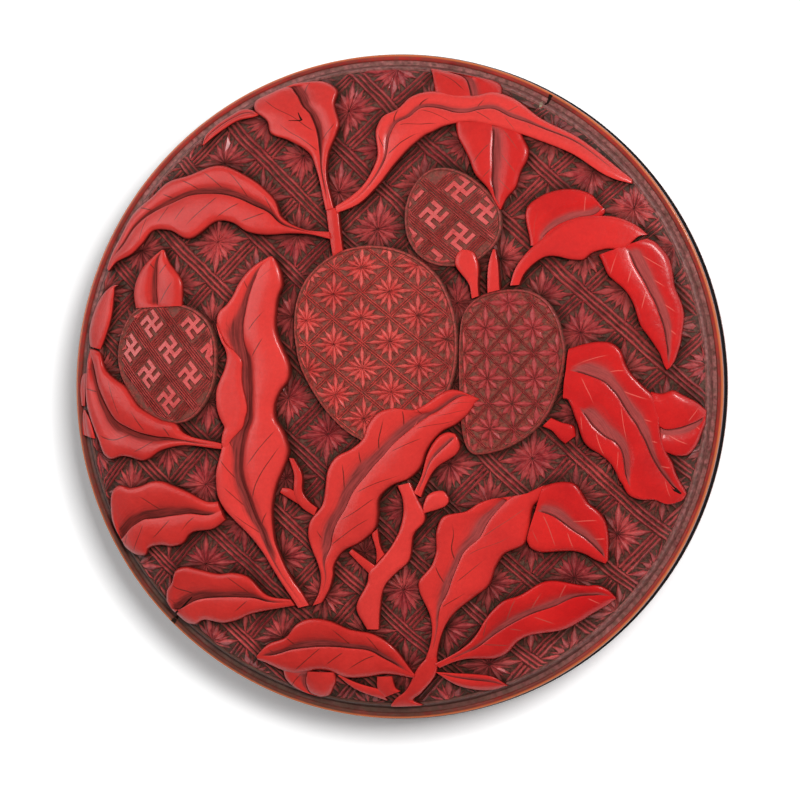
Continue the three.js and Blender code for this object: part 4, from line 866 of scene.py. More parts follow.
relief_objects = []
for number, (name, (crisp, level, rows)) in enumerate(RELIEF.items()):
    obj = leaf(name, crisp, level, rows, 11 + number)
    relief_objects.append(dress(obj, "cover", "cinnabar_lacquer", "cover_carved_coat"))
print(len(relief_objects), "pieces,", sum(len(o.data.polygons) for o in relief_objects), "faces")

# %% [markdown]
# ## Lychees
# A lychee is a low cap with a rounded shoulder. Its skin is one smooth surface here, and the diaper
# pattern is laid on it afterwards, as the carver cuts it last.

# %% Lychee caps
FRUIT_OUTLINES = {
    "large_lychee": [
        (13.0, 6.8), (12.7, 10.5), (11.6, 14.4), (9.6, 18.0), (6.1, 21.0), (2.2, 22.6), (-2.2, 23.1),
        (-6.4, 22.3), (-9.7, 20.5), (-12.4, 17.8), (-13.9, 14.7), (-14.5, 11.2), (-14.3, 7.3),
        (-13.3, 3.0), (-10.6, -1.9), (-7.7, -5.5), (-4.5, -8.1), (-0.2, -9.7), (4.4, -8.9), (8.5, -5.5),
        (11.5, -0.9), (12.7, 3.0)],
    "right_lychee": [
        (30.6, 5.1), (30.1, 8.8), (29.0, 11.8), (27.2, 14.2), (24.2, 15.7), (20.0, 15.7), (16.4, 14.6),
        (14.0, 12.1), (13.3, 8.4), (13.2, 2.7), (13.4, -3.8), (14.0, -8.7), (15.5, -11.0),
        (18.7, -10.8), (22.3, -9.5), (25.6, -7.2), (28.1, -4.0), (29.7, 0.1)],
    "small_lychee": [
        (20.0, 26.1), (19.6, 28.9), (18.3, 31.0), (16.3, 33.0), (13.8, 34.7), (11.0, 35.7), (8.3, 35.6),
        (6.2, 34.2), (4.6, 31.6), (3.9, 28.7), (4.1, 25.5), (5.0, 23.1), (6.9, 20.9), (9.6, 19.7),
        (12.7, 19.6), (15.8, 20.4), (17.9, 21.9), (19.4, 23.8)],
    "left_lychee": [
        (-27.8, 4.0), (-28.0, 7.2), (-29.1, 10.3), (-31.3, 12.4), (-34.0, 13.5), (-37.4, 13.9),
        (-40.7, 13.6), (-43.5, 12.0), (-45.2, 9.2), (-45.9, 5.7), (-45.5, 2.4), (-43.9, -0.7),
        (-41.7, -3.4), (-38.9, -5.2), (-35.7, -6.2), (-32.4, -5.4), (-29.9, -2.9), (-28.3, 0.4)],
}
# Rings from the root of the wall over the raised border: inset, share of the height, lift, cut value
BORDER_RINGS = [
    (0.0, None, 0.0, 0.0), (0.0, 0.22, 0.0, 0.03), (0.06, 0.38, 0.0, 0.08), (0.14, 0.46, -0.04, 0.14),
    (0.26, 0.50, 0.0, 0.19), (0.36, 0.52, 0.0, 0.17), (0.44, 0.52, -0.2, 0.04)]
# Rings of the recessed field: way to the middle, share of the height
FIELD_RINGS = [(0.0, 0.53), (0.1, 0.62), (0.22, 0.72), (0.36, 0.82), (0.52, 0.90), (0.7, 0.96), (0.86, 0.99)]
FIELD_INSET = 0.6
FIELD_SINK = 0.35
LYCHEE_LEVEL = 0.86
RIM_POINTS = 160


def closed_curve(corners):
    """A smooth closed curve through the corners."""
    corners = np.array(corners)
    t = np.arange(RIM_POINTS) * len(corners) / RIM_POINTS
    k = t.astype(int)
    u = (t - k)[:, None]
    a, b, c, d = (corners[(k + shift) % len(corners)] for shift in (-1, 0, 1, 2))
    return 0.5 * (2 * b + (c - a) * u + (2 * a - 5 * b + 4 * c - d) * u ** 2
                  + (3 * b - a - 3 * c + d) * u ** 3)


def lychee(name, corners, finish):
    """The closed cap of a lychee, and its open field, on which the pattern is laid."""
    outline, rim = closed_curve(corners), RIM_POINTS
    centre = outline.mean(axis=0)
    reach = np.linalg.norm(outline - centre, axis=1)[:, None]
    rings = [(np.full_like(reach, inset), *rest) for inset, *rest in BORDER_RINGS]
    rings += [(FIELD_INSET + way * (reach - FIELD_INSET), part, -FIELD_SINK, 0.0)
              for way, part in FIELD_RINGS]
    points, cut_values = [], []
    for inset, part, lift, cut in rings:
        xy = outline + (centre - outline) * inset / reach
        ground, face = ground_height(*xy.T), face_height(*xy.T)
        raised = ground + (face - ground) * LYCHEE_LEVEL * (part or 0.0) + lift
        z = ground - RELIEF_ROOT if part is None else raised
        points.append(np.column_stack([xy, z]))
        cut_values += [cut] * rim
    ground, face = ground_height(*centre), face_height(*centre)
    middle = [[*centre, ground + (face - ground) * LYCHEE_LEVEL - FIELD_SINK]]
    field = np.vstack(points[len(BORDER_RINGS):] + [middle])
    count = len(FIELD_RINGS)
    fan = [((count - 1) * rim + i, (count - 1) * rim + (i + 1) % rim, count * rim) for i in range(rim)]
    patch = make_object(name + "_field", field, grid_faces(count, rim, wrap=True) + fan, None)
    everything = np.vstack(points + [middle, [[*centre, ground - RELIEF_ROOT]]])
    faces = grid_faces(len(rings), rim, wrap=True)
    top = rim * len(rings)
    for i in range(rim):
        k = (i + 1) % rim
        faces.append((top - rim + i, top - rim + k, top))
        faces.append((k, i, top + 1))
    cap = make_object(name, everything, faces, finish, 40, {"cut": cut_values + [0.0, 0.0]})
    return cap, patch


fruit_objects, fruit_fields = {}, {}
for name, corners in FRUIT_OUTLINES.items():
    finish = FRUIT_CARVING if name in ("large_lychee", "right_lychee") else WAN_CARVING
    cap, fruit_fields[name] = lychee(name, corners, finish)
    fruit_objects[name] = dress(cap, "cover", "cinnabar_lacquer", "cover_carved_coat")
print("lychees:", list(fruit_objects))

# %% [markdown]
# ## Shells, lips and linings
# Everything that the lathe made is a profile spun about the axis. The black lips and the red bead have
# softly rounded corners, which is what gives them their thin lines of light; along the top of the black lips
# that line is also a painted highlight.

# %% Turned pieces of the cover
cover_inside = dome_profile(GROUND_RADIUS - COAT_THICKNESS, COVER_SHOULDER, COVER_RISE - COAT_THICKNESS)
FLOOR_SINK = 0.5
FIELD_RADIUS = 52.3
# The plain band between the pattern and the bead: radius, lift above the ground curve, cut value
RIM_BAND = [(52.98, 0.0, 0.30), (52.9, 0.03, 0.36), (52.8, 0.03, 0.34), (52.68, 0.02, 0.26),
            (52.55, -0.05, 0.16), (52.42, -0.3, 0.05)]
field_floor = [(FIELD_RADIUS * v, float(ground_height(FIELD_RADIUS * v, 0)) - FLOOR_SINK)
               for v in np.sin(np.linspace(math.pi / 2, 0, 64))]
shell_profile = cover_inside[::-1] + [
    (GROUND_RADIUS - COAT_THICKNESS, COVER_LEDGE),
    (BEAD_INNER, COVER_LEDGE),
    (BEAD_INNER, COVER_LEDGE + 0.5),
    (GROUND_RADIUS + 0.2, COVER_LEDGE + 0.6),
]
shell_cut = [0.0] * (len(shell_profile) - 2) + [0.22, 0.30]
shell_profile += [(r, float(ground_height(r, 0)) + lift) for r, lift, cut in RIM_BAND] + field_floor
shell_cut += [cut for r, lift, cut in RIM_BAND] + [0.0] * len(field_floor)
cover_ground = turned("cover_ground", shell_profile, GROUND_CARVING, values={"cut": shell_cut})
cover_ground.data.materials.append(RIM_BAND_FINISH)
for face in cover_ground.data.polygons:
    x, y, z = face.center
    if math.hypot(x, y) > (FIELD_RADIUS - 0.1) * MM and z > COVER_LEDGE * MM:
        face.material_index = 1
dress(cover_ground, "cover", "cinnabar_lacquer", "cover_carved_coat")
RINGS, SPOKES = 40, 144
field_points = [(FIELD_RADIUS * k / RINGS * math.cos(a), FIELD_RADIUS * k / RINGS * math.sin(a))
                for k in range(1, RINGS + 1) for a in np.arange(SPOKES) * 2 * math.pi / SPOKES]
field_points = np.array([(0.0, 0.0)] + field_points)
field_points = np.column_stack([field_points, ground_height(*field_points.T) - FLOOR_SINK])
field_faces = [(0, 1 + i, 1 + (i + 1) % SPOKES) for i in range(SPOKES)]
field_faces += [tuple(v + 1 for v in face)[::-1] for face in grid_faces(RINGS, SPOKES, wrap=True)]
ground_field = make_object("ground_field", field_points, field_faces, None)

LINING_MOUTH = 50.9
LINED_MOUTH = LINING_MOUTH + LINING_THICKNESS
COVER_WALL = 1.6
core_inside = dome_profile(50.0, COVER_SHOULDER, COVER_RISE - COAT_THICKNESS - COVER_WALL)
lining_inside = dome_profile(50.0 - LINING_THICKNESS, COVER_SHOULDER,
                             COVER_RISE - COAT_THICKNESS - (COVER_WALL + LINING_THICKNESS))
cover_lining = turned("cover_lining", lining_inside[::-1] + [
    (LINING_MOUTH, COVER_SHOULDER - 0.7),
    (LINING_MOUTH, SEAM_HEIGHT + SEAM_GAP + LIP_LANDING),
    (LINED_MOUTH, SEAM_HEIGHT + SEAM_GAP + LIP_LANDING),
    (LINED_MOUTH, COVER_SHOULDER - 0.6),
] + core_inside, BLACK)
dress(cover_lining, "cover", "black_lacquer", "cover_inner_lining")

seam = SEAM_HEIGHT + SEAM_GAP
lip_profile = rounded([
    (LINING_MOUTH, seam + 0.25),
    (LINING_MOUTH, seam, 0.1),
    (MOUTH_RADIUS, seam, 0.35),
    (MOUTH_RADIUS, COVER_LEDGE, 0.45),
    (CORE_RADIUS, COVER_LEDGE, 0.0),
    (CORE_RADIUS, seam + LIP_LANDING, 0.0),
    (LINING_MOUTH, seam + LIP_LANDING, 0.0),
    (LINING_MOUTH, seam + 0.25),
], 0.1)
# The edge value marks the lip's rounded top, where a painted highlight lies.
lip_edge = [1.0 if r > MOUTH_RADIUS - 0.3 and z > COVER_LEDGE - 0.2 else 0.0 for r, z in lip_profile[:-1]]
cover_lip = turned("cover_lip", lip_profile, BLACK, values={"edge": lip_edge})
dress(cover_lip, "cover", "black_lacquer", "cover_mouth_lip")


BEAD_HEIGHT = 1.0


def bead(name, ledge, side):
    """The bead beside its lip, with its outer corner rubbed. Side is 1 above the seam and -1 below."""
    corners = [
        (BEAD_INNER + 0.5, ledge),
        (BEAD_OUTER, ledge, 0.0),
        (BEAD_OUTER, ledge + side * BEAD_HEIGHT, 0.4),
        (BEAD_INNER, ledge + side * BEAD_HEIGHT, 0.35),
        (BEAD_INNER, ledge, 0.0),
        (BEAD_INNER + 0.5, ledge),
    ]
    profile = rounded(corners if side > 0 else corners[::-1], 0.3)
    edge = [1.0 if r > BEAD_OUTER - 0.26 and (z - ledge) * side > 0.3 else 0.0 for r, z in profile[:-1]]
    return turned(name, profile, BEAD_RED, values={"edge": edge})


cover_bead = bead("cover_bead", COVER_LEDGE, 1)
dress(cover_bead, "cover", "worn_cinnabar", "cover_rim_bead")
print("cover pieces turned")

# %% Turned pieces of the base
foot_q = FOOT_RADIUS / GROUND_RADIUS
slope = np.array(dome_profile(GROUND_RADIUS, BASE_SHOULDER, -BELLY_DEPTH, foot_q))
slope_run = run_along(slope)
slope_way = np.gradient(slope, slope_run, axis=0)


def flank_point(run, out):
    """Radius and height at a distance down the slope of the base and a height over it."""
    radius, height = (np.interp(run, slope_run, column) for column in slope.T)
    way_r, way_z = (np.interp(run, slope_run, column) for column in slope_way.T)
    size = np.hypot(way_r, way_z)
    return radius - way_z / size * out, height + way_r / size * out


FLANK_START, FLANK_END = 1.5, slope_run[-1] - 1.7
FLANK_SINK = 0.32
stations = np.concatenate([
    np.linspace(0, FLANK_START, 4), np.linspace(FLANK_START + 0.1, FLANK_END - 0.1, 32),
    np.linspace(FLANK_END, slope_run[-1], 4)])
sunk = np.where((stations > FLANK_START) & (stations < FLANK_END), -FLANK_SINK, 0.0)
base_outside = list(zip(*flank_point(stations, sunk)))
FOOT_COAT = 0.6
FOOT_TOP, FOOT_RECESS = 2.4, 1.8
foot_inner = FOOT_RADIUS - 1.2
inner_radius = GROUND_RADIUS - COAT_THICKNESS
base_coat_inside = dome_profile(inner_radius, BASE_SHOULDER, COAT_THICKNESS - BELLY_DEPTH,
                                foot_inner / inner_radius)
base_coat = turned("base_coat", [
    *base_outside[::-1],
    (GROUND_RADIUS + 0.2, BASE_LEDGE - 0.5),
    (BEAD_INNER, BASE_LEDGE - 0.5),
    (BEAD_INNER, BASE_LEDGE),
    (inner_radius, BASE_LEDGE),
    *base_coat_inside,
    (foot_inner, FOOT_COAT),
    (FOOT_RADIUS, FOOT_COAT),
    base_outside[-1],
], BEAD_RED)
base_coat.data.materials.append(GROUND_CARVING)
band_top, band_foot = flank_point(FLANK_START, 0)[1], flank_point(FLANK_END, 0)[1]
for face in base_coat.data.polygons:
    x, y, z = np.array(face.center) / MM
    outside = math.hypot(x, y) > np.interp(z, slope[::-1, 1], slope[::-1, 0]) - 0.6
    if outside and band_foot < z < band_top:
        face.material_index = 1
dress(base_coat, "base", "cinnabar_lacquer", "base_carved_coat")
base_bead = bead("base_bead", BASE_LEDGE, -1)
dress(base_bead, "base", "worn_cinnabar", "base_rim_bead")

FLANGE_OUTER, FLANGE_INNER = 50.6, 48.6
FLANGE_FLOOR, FLANGE_TOP = 17.0, 23.0
INTERIOR_DEPTH = 11.4
BOWL_STEPS = 40
base_lip = turned("base_lip", rounded([
    (FLANGE_OUTER, SEAM_HEIGHT - 0.25),
    (FLANGE_OUTER, SEAM_HEIGHT - LIP_LANDING, 0.0),
    (CORE_RADIUS, SEAM_HEIGHT - LIP_LANDING, 0.0),
    (CORE_RADIUS, BASE_LEDGE, 0.0),
    (MOUTH_RADIUS, BASE_LEDGE, 0.45),
    (MOUTH_RADIUS, SEAM_HEIGHT, 0.35),
    (FLANGE_OUTER, SEAM_HEIGHT, 0.1),
    (FLANGE_OUTER, SEAM_HEIGHT - 0.25),
], 0.1), BLACK)
dress(base_lip, "base", "black_lacquer", "base_mouth_lip")
flange = turned("base_flange", rounded([
    (FLANGE_INNER + 1, FLANGE_FLOOR),
    (FLANGE_OUTER, FLANGE_FLOOR, 0.0),
    (FLANGE_OUTER, FLANGE_TOP, 0.6),
    (FLANGE_INNER, FLANGE_TOP, 0.6),
    (FLANGE_INNER, FLANGE_FLOOR, 0.0),
    (FLANGE_INNER + 1, FLANGE_FLOOR),
], 0.4), BLACK)
dress(flange, "base", "black_lacquer", "base_inner_flange")


def bowl_profile(radius, depth):
    """The inside of the base from its mouth down to the middle of its floor."""
    q = np.sin(np.linspace(math.pi / 2, 0, BOWL_STEPS))
    return [(radius * v, FLANGE_FLOOR - depth * math.sqrt(max(0.0, 1 - v ** 3.2))) for v in q]


base_lining = turned("base_lining", [
    *bowl_profile(FLANGE_INNER + LINING_THICKNESS, INTERIOR_DEPTH + LINING_THICKNESS)[::-1],
    *bowl_profile(FLANGE_INNER, INTERIOR_DEPTH),
], BLACK)
dress(base_lining, "base", "black_lacquer", "base_inner_lining")
FOOT_INSIDE = FOOT_RADIUS - 2.8
foot = turned("base_foot", [
    (0, FOOT_RECESS), (FOOT_INSIDE - 0.6, FOOT_RECESS), (FOOT_INSIDE - 0.2, 1.5),
    (FOOT_INSIDE + 0.1, 0.3), (FOOT_INSIDE + 0.4, 0.0), (FOOT_RADIUS - 0.3, 0.0),
    (FOOT_RADIUS - 0.05, 0.15), (FOOT_RADIUS, FOOT_COAT), (FOOT_INSIDE + 0.6, FOOT_COAT),
    (FOOT_INSIDE + 0.2, FOOT_TOP), (0, FOOT_TOP),
], BLACK)
dress(foot, "base", "black_lacquer", "base_foot_coat")
for node in ("base_wood_core", "cover_wood_core"):
    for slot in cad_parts[node].material_slots:
        slot.material = WOOD
print("base pieces turned")

# %% [markdown]
# ## Diaper carving with Geometry Nodes
# The ground and the lychees are covered with small patterns that repeat on a lattice: a star in each
# diamond and a band of ridges along its sides. One tree lays any such motif on any surface. It makes a
# grid of points, places the motif on each, wobbles it as a hand would, drops it onto the surface with a
# ray from above, and throws away whatever would hang over the edge.

# %% The tree that lays a motif on a surface
RAY_START = 0.1
SEED_STEP = 0.137
OVERHANG = 0.75
diaper = bpy.data.node_groups.new("lay_diaper", "GeometryNodeTree")
diaper.interface.new_socket("Geometry", in_out="INPUT", socket_type="NodeSocketGeometry")
diaper.interface.new_socket("Geometry", in_out="OUTPUT", socket_type="NodeSocketGeometry")
diaper_sockets = {}
for label, kind, value in (
        ("Motif", "Object", None), ("Count", "Int", 15), ("Step A", "Vector", (0.007, 0.006, 0.0)),
        ("Step B", "Vector", (0.007, -0.006, 0.0)), ("Origin", "Vector", (0.0, 0.0, 0.0)),
        ("Wobble", "Float", 0.0002), ("Wobble Scale", "Float", 120.0), ("Seed", "Int", 3),
        ("Level", "Float", 0.03), ("Uneven", "Float", 0.5), ("Finish", "Material", None)):
    socket = diaper.interface.new_socket(label, in_out="INPUT", socket_type="NodeSocket" + kind)
    if value is not None:
        socket.default_value = value
    diaper_sockets[label] = socket.identifier
geo = Nodes(diaper)
put = geo.node("NodeGroupInput").outputs
span = geo.math("SUBTRACT", put["Count"], 1.0)
lattice = geo.add("GeometryNodeMeshGrid", {
    "Size X": span, "Size Y": span, "Vertices X": put["Count"], "Vertices Y": put["Count"]})
here = geo.add("GeometryNodeInputPosition")
along, across, height = geo.node("ShaderNodeSeparateXYZ", {0: here}).outputs
cell = geo.vector("ADD", geo.vector("SCALE", put["Step A"], along),
                  geo.vector("SCALE", put["Step B"], across))
points = geo.add("GeometryNodeSetPosition", {
    "Geometry": lattice, "Position": geo.vector("ADD", cell, put["Origin"])})
motif = geo.add("GeometryNodeObjectInfo", {"Object": put["Motif"]}, "Geometry")
copies = geo.add("GeometryNodeInstanceOnPoints", {"Points": points, "Instance": motif})
solid = geo.add("GeometryNodeRealizeInstances", {"Geometry": copies})

# The height of a point in the motif, in millimetres, is kept as the value that the finish reads.
patchy = geo.add("ShaderNodeTexNoise", {"Vector": here, "Scale": 330.0, "Detail": 3.0})
patchy = geo.math("MULTIPLY", geo.span(patchy, 0.3, 0.7, -1.0, 1.0), put["Uneven"])
kept = geo.math("MULTIPLY", geo.math("MULTIPLY", height, 1000.0), geo.math("ADD", patchy, 1.0))
stored = geo.add("GeometryNodeStoreNamedAttribute", {"Geometry": solid, "Name": "cut", "Value": kept},
                 data_type="FLOAT", domain="POINT")

# Wobble: a smooth noise pushes the pattern about, and the seed moves the noise.
moved = geo.vector("ADD", here, geo.math("MULTIPLY", put["Seed"], SEED_STEP))
push = geo.vector("SUBTRACT", geo.noise(put["Wobble Scale"], 4.0, 0.62, moved, "Color"), (0.5, 0.5, 0.5))
push = geo.vector("SCALE", geo.vector("MULTIPLY", push, (2.0, 2.0, 0.0)), put["Wobble"])
wobbled = geo.add("GeometryNodeSetPosition", {"Geometry": stored, "Offset": push})

# A ray from above finds the surface under each point.
flat = geo.vector("MULTIPLY", here, (1.0, 1.0, 0.0))
ray = geo.node("GeometryNodeRaycast", {
    "Target Geometry": put["Geometry"], "Source Position": geo.vector("ADD", flat, (0.0, 0.0, RAY_START)),
    "Ray Direction": (0.0, 0.0, -1.0), "Ray Length": 2 * RAY_START}).outputs
missed = geo.math("SUBTRACT", 1.0, ray["Is Hit"])
island = geo.add("GeometryNodeInputMeshIsland", out="Island Index")


def island_total(value):
    return geo.add("GeometryNodeAccumulateField", {"Value": value, "Group Index": island}, "Total",
                   data_type="FLOAT", domain="POINT")


def more_than(value, limit):
    return geo.add("FunctionNodeCompare", {0: value, 1: limit}, data_type="FLOAT",
                   operation="GREATER_THAN")


hangs = more_than(geo.math("DIVIDE", island_total(missed), island_total(1.0)), OVERHANG)
trimmed = geo.add("GeometryNodeDeleteGeometry", {"Geometry": wobbled, "Selection": hangs}, domain="POINT")

# A point outside the field is pulled back to its edge, so the pattern is cut off along the outline.
raised = geo.add("ShaderNodeCombineXYZ", {2: put["Level"]})
edge = geo.add("GeometryNodeProximity", {
    0: put["Geometry"], "Source Position": geo.vector("ADD", flat, raised)}, "Position",
    target_element="FACES")
onto = geo.vector("ADD", ray["Hit Position"], geo.add("ShaderNodeCombineXYZ", {2: height}))
place = geo.add("GeometryNodeSwitch", {"Switch": more_than(missed, 0.5), "False": onto, "True": edge},
                input_type="VECTOR")
laid = geo.add("GeometryNodeSetPosition", {"Geometry": trimmed, "Position": place})
finished = geo.add("GeometryNodeSetMaterial", {"Geometry": laid, "Material": put["Finish"]})
geo.node("NodeGroupOutput", {"Geometry": finished})
print("tree:", diaper.name, "with inputs", list(diaper_sockets))

# %% [markdown]
# ## Motifs
# A motif is drawn in its own cell, where both sides run from -0.5 to 0.5, so the same star fits a square
# cell and a slanted one. A petal is a kite with a raised middle line. A ridge is a small roof. The
# fret is a cross of flat bars whose ends all turn left, as in the old cloud and fret diapers.

# %% Motif pieces


class Motif:
    """Collects small closed solids in cell coordinates. Heights are in millimetres."""
    ROOT = -0.25
    FRET_SLOPE = 0.014

    def __init__(self, step_a, step_b):
        self.step_a, self.step_b = np.array(step_a), np.array(step_b)
        self.points, self.solids = [], []

    def add(self, corners, faces):
        first = len(self.points)
        for p, q, z in corners:
            x, y = p * self.step_a + q * self.step_b
            self.points.append((x, y, z))
        faces = [tuple(first + i for i in face) for face in faces]
        self.solids.append((first, len(self.points), faces))

    def kite(self, angle, length, width, rise):
        """A petal from near the middle of the cell outwards."""
        c, s = math.cos(angle), math.sin(angle)

        def at(r, w, z):
            return (r * c - w * s, r * s + w * c, z)

        belly = 0.56 * length
        ring = [(0.012, 0), (belly, -width / 2), (length, 0), (belly, width / 2)]
        bottom = [at(r, w, self.ROOT) for r, w in ring]
        heights = (rise * 0.45, rise * 0.08, rise * 0.3, rise * 0.08)
        top = [at(r, w, z) for (r, w), z in zip(ring, heights)]
        ridge = [at(0.34 * length, 0.0, rise), at(0.8 * length, 0.0, rise * 0.92)]
        self.add(bottom + top + ridge, [
            (3, 2, 1, 0),
            (0, 1, 5, 4), (1, 2, 6, 5), (2, 3, 7, 6), (3, 0, 4, 7),
            (4, 5, 8), (5, 9, 8), (5, 6, 9), (6, 7, 9), (7, 8, 9), (7, 4, 8),
        ])

    def ridge(self, start, end, width, rise, pieces):
        """A small roof from start to end, in short closed pieces."""
        start, end = np.array(start, dtype=float), np.array(end, dtype=float)
        low = 0.12 * rise
        side = np.array([-(end - start)[1], (end - start)[0]])
        side = side / np.linalg.norm(side) * width / 2
        for k in range(pieces):
            a = start + (end - start) * k / pieces
            b = start + (end - start) * (k + 1) / pieces
            corners = []
            for p in (a, b):
                left, right = tuple(p - side), tuple(p + side)
                corners += [(*left, self.ROOT), (*right, self.ROOT), (*right, low), (*p, rise), (*left, low)]
            self.add(corners, [
                (0, 1, 2, 3, 4), (9, 8, 7, 6, 5),
                (0, 5, 6, 1), (1, 6, 7, 2), (2, 7, 8, 3), (3, 8, 9, 4), (4, 9, 5, 0),
            ])

    def star(self, petals, inner, width, rise, first=45.0, reach=0.95):
        """Petals all round. Each is as long as the diamond allows in its direction."""
        for k in range(petals):
            angle = math.radians(first + 360.0 * k / petals)
            length = reach * inner / max(abs(math.cos(angle)), abs(math.sin(angle)))
            self.kite(angle, length, width * (0.75 + 0.25 * length / inner), rise)

    def bands(self, count, pitch, width, rise, gap, pieces):
        """Ridges along the sides of the cell. One band runs through at a crossing, one stops short."""
        for k in range(count):
            off = (k - (count - 1) / 2) * pitch
            self.ridge((0.5 + off, -0.5), (0.5 + off, 0.5), width, rise, pieces)
            self.ridge((-0.5 + gap, 0.5 + off), (0.5 - gap, 0.5 + off), width, rise * 0.94, pieces)

    def wan(self, arm, thick, rise):
        """The fret of the old wan diaper: a flat-topped cross whose four arms turn the same way."""
        h, slope = thick / 2, self.FRET_SLOPE
        one_arm = [(h, -h), (arm - thick, -h), (arm - thick, -arm), (arm, -arm), (arm, h)]
        outline = []
        for c, s in ((1, 0), (0, 1), (-1, 0), (0, -1)):
            outline += [(c * x - s * y, s * x + c * y) for x, y in one_arm]
        count = len(outline)
        top = []
        for k, (x, y) in enumerate(outline):
            (ax, ay), (bx, by) = outline[k - 1], outline[(k + 1) % count]
            into, out = np.sign((x - ax, y - ay)), np.sign((bx - x, by - y))
            top.append((x - slope * (into[1] + out[1]), y + slope * (into[0] + out[0]), rise))
        bottom = [(x, y, self.ROOT) for x, y in outline]
        sides = [(k, (k + 1) % count, count + (k + 1) % count, count + k) for k in range(count)]
        self.add(bottom + top, [tuple(range(count))[::-1], tuple(range(count, 2 * count))] + sides)

    def to_object(self, name):
        faces = [face for first, end, solid in self.solids for face in solid]
        return make_object(name, self.points, faces, None, 1)


UNEVEN = 0.35


def lay(name, surface, motif, origin, count, wobble, seed, finish, wobble_scale, level):
    """Run the tree on a surface and keep the carving as a plain mesh of its own."""
    pattern = motif.to_object("motif_" + name)
    modifier = surface.modifiers.new("diaper", "NODES")
    modifier.node_group = diaper
    choices = {
        "Motif": pattern, "Count": count, "Step A": (*(motif.step_a * MM), 0.0),
        "Step B": (*(motif.step_b * MM), 0.0), "Origin": (*(np.array(origin) * MM), 0.0),
        "Wobble": wobble * MM, "Wobble Scale": wobble_scale, "Seed": seed, "Level": level * MM,
        "Uneven": UNEVEN, "Finish": finish,
    }
    for label, value in choices.items():
        modifier[diaper_sockets[label]] = value
    surface.update_tag()
    bpy.context.view_layer.update()
    graph = bpy.context.evaluated_depsgraph_get()
    mesh = bpy.data.meshes.new_from_object(surface.evaluated_get(graph))
    mesh.name = name
    bpy.data.objects.remove(surface)
    bpy.data.objects.remove(pattern)
    print(name, len(mesh.polygons), "faces")
    return new_object(name, mesh)


# %% [markdown]
# The flank of the base can't be seen in the photo. Boxes of this kind carry the same diaper all round, so
# here it runs in a sunk band between a plain border at the rim and one at the foot. It is wrapped
# round the slope with a formula, and a petal that would cross a border is left out.

# %% Flank diaper
FLANK_CELLS, FLANK_ROWS = 44, 3
FLANK_SPILL = 0.12
MIDDLE_RADIUS = 46.0
cell_width = 2 * math.pi * MIDDLE_RADIUS / FLANK_CELLS
cell_height = (FLANK_END - FLANK_START) / FLANK_ROWS
flank_motif = Motif((cell_width / 2, cell_height / 2), (cell_width / 2, -cell_height / 2))
flank_motif.star(12, 0.42, 0.12, 0.50, reach=1.0)
flank_motif.star(12, 0.42, 0.08, 0.22, first=60.0, reach=0.95)
flank_motif.bands(3, 0.066, 0.054, 0.40, 0.08, 3)
drawn = np.array(flank_motif.points)
points, faces, cuts = [], [], []
for row in range(2 * FLANK_ROWS + 1):
    for column in range(FLANK_CELLS):
        along = (column + row % 2 / 2) * cell_width + drawn[:, 0]
        down = row * cell_height / 2 + drawn[:, 1]
        radius, height = flank_point(FLANK_START + down, drawn[:, 2] - FLANK_SINK)
        angle = -along / MIDDLE_RADIUS
        placed = np.column_stack([radius * np.cos(angle), radius * np.sin(angle), height])
        inside = (down > -FLANK_SPILL) & (down < FLANK_END - FLANK_START + FLANK_SPILL)
        for start, end, solid in flank_motif.solids:
            if inside[start:end].all():
                shift = len(points) - start
                points.extend(placed[start:end])
                cuts.extend(np.maximum(drawn[start:end, 2], 0.0))
                faces += [tuple(v + shift for v in face) for face in solid]
flank_carving = make_object("flank_carving", points, faces, GROUND_CARVING, 1, {"cut": cuts})
dress(flank_carving, "base", "cinnabar_lacquer", "base_carved_coat")
print("flank carving", len(faces), "faces")

# %% [markdown]
# The carving is darkest where it meets the wall of a leaf, where the knife undercut the leaf: that dark is
# partly residue and partly painted shadow of the undercut. A search for the nearest wall gives each point of
# the carving that shade.

# %% Shade near the walls
WALL_FOOT = 0.4
SHADE_REACH = 1.9


def points_of(obj):
    places = np.empty(len(obj.data.vertices) * 3, dtype=np.float32)
    obj.data.vertices.foreach_get("co", places)
    return places.reshape(-1, 3)


wall_points = []
for obj in relief_objects + list(fruit_objects.values()):
    places = points_of(obj)
    floor = ground_height(places[:, 0] / MM, places[:, 1] / MM) * MM
    wall_points.append(places[places[:, 2] < floor - WALL_FOOT * MM])
wall_points = np.vstack(wall_points)
walls = KDTree(len(wall_points))
for i, p in enumerate(wall_points):
    walls.insert((p[0], p[1], 0.0), i)
walls.balance()
print(len(wall_points), "points on the walls")


def shade_near_walls(obj):
    near = [walls.find((p[0], p[1], 0.0))[2] / MM for p in points_of(obj)]
    shade = np.maximum(0.0, 1 - np.array(near) / SHADE_REACH) ** 1.5
    layer = obj.data.attributes.new("shade", "FLOAT", "POINT")
    layer.data.foreach_set("value", shade.astype(np.float32))


# %% Ground diaper
GROUND_LEVEL, FRUIT_LEVEL = 25.5, 33.0
ground_motif = Motif((7.2, 7.15), (6.6, -6.1))
ground_motif.star(12, 0.40, 0.125, 0.84, reach=1.04)
ground_motif.star(12, 0.40, 0.085, 0.38, first=60.0, reach=1.0)
ground_motif.bands(3, 0.076, 0.062, 0.66, 0.12, 6)
ground_carving = lay("ground_carving", ground_field, ground_motif, (31.8, -17.9), 23, 0.85, 3,
                     GROUND_CARVING, 75.0, GROUND_LEVEL)
shade_near_walls(ground_carving)
shade_near_walls(cover_ground)
dress(ground_carving, "cover", "cinnabar_lacquer", "cover_carved_coat")

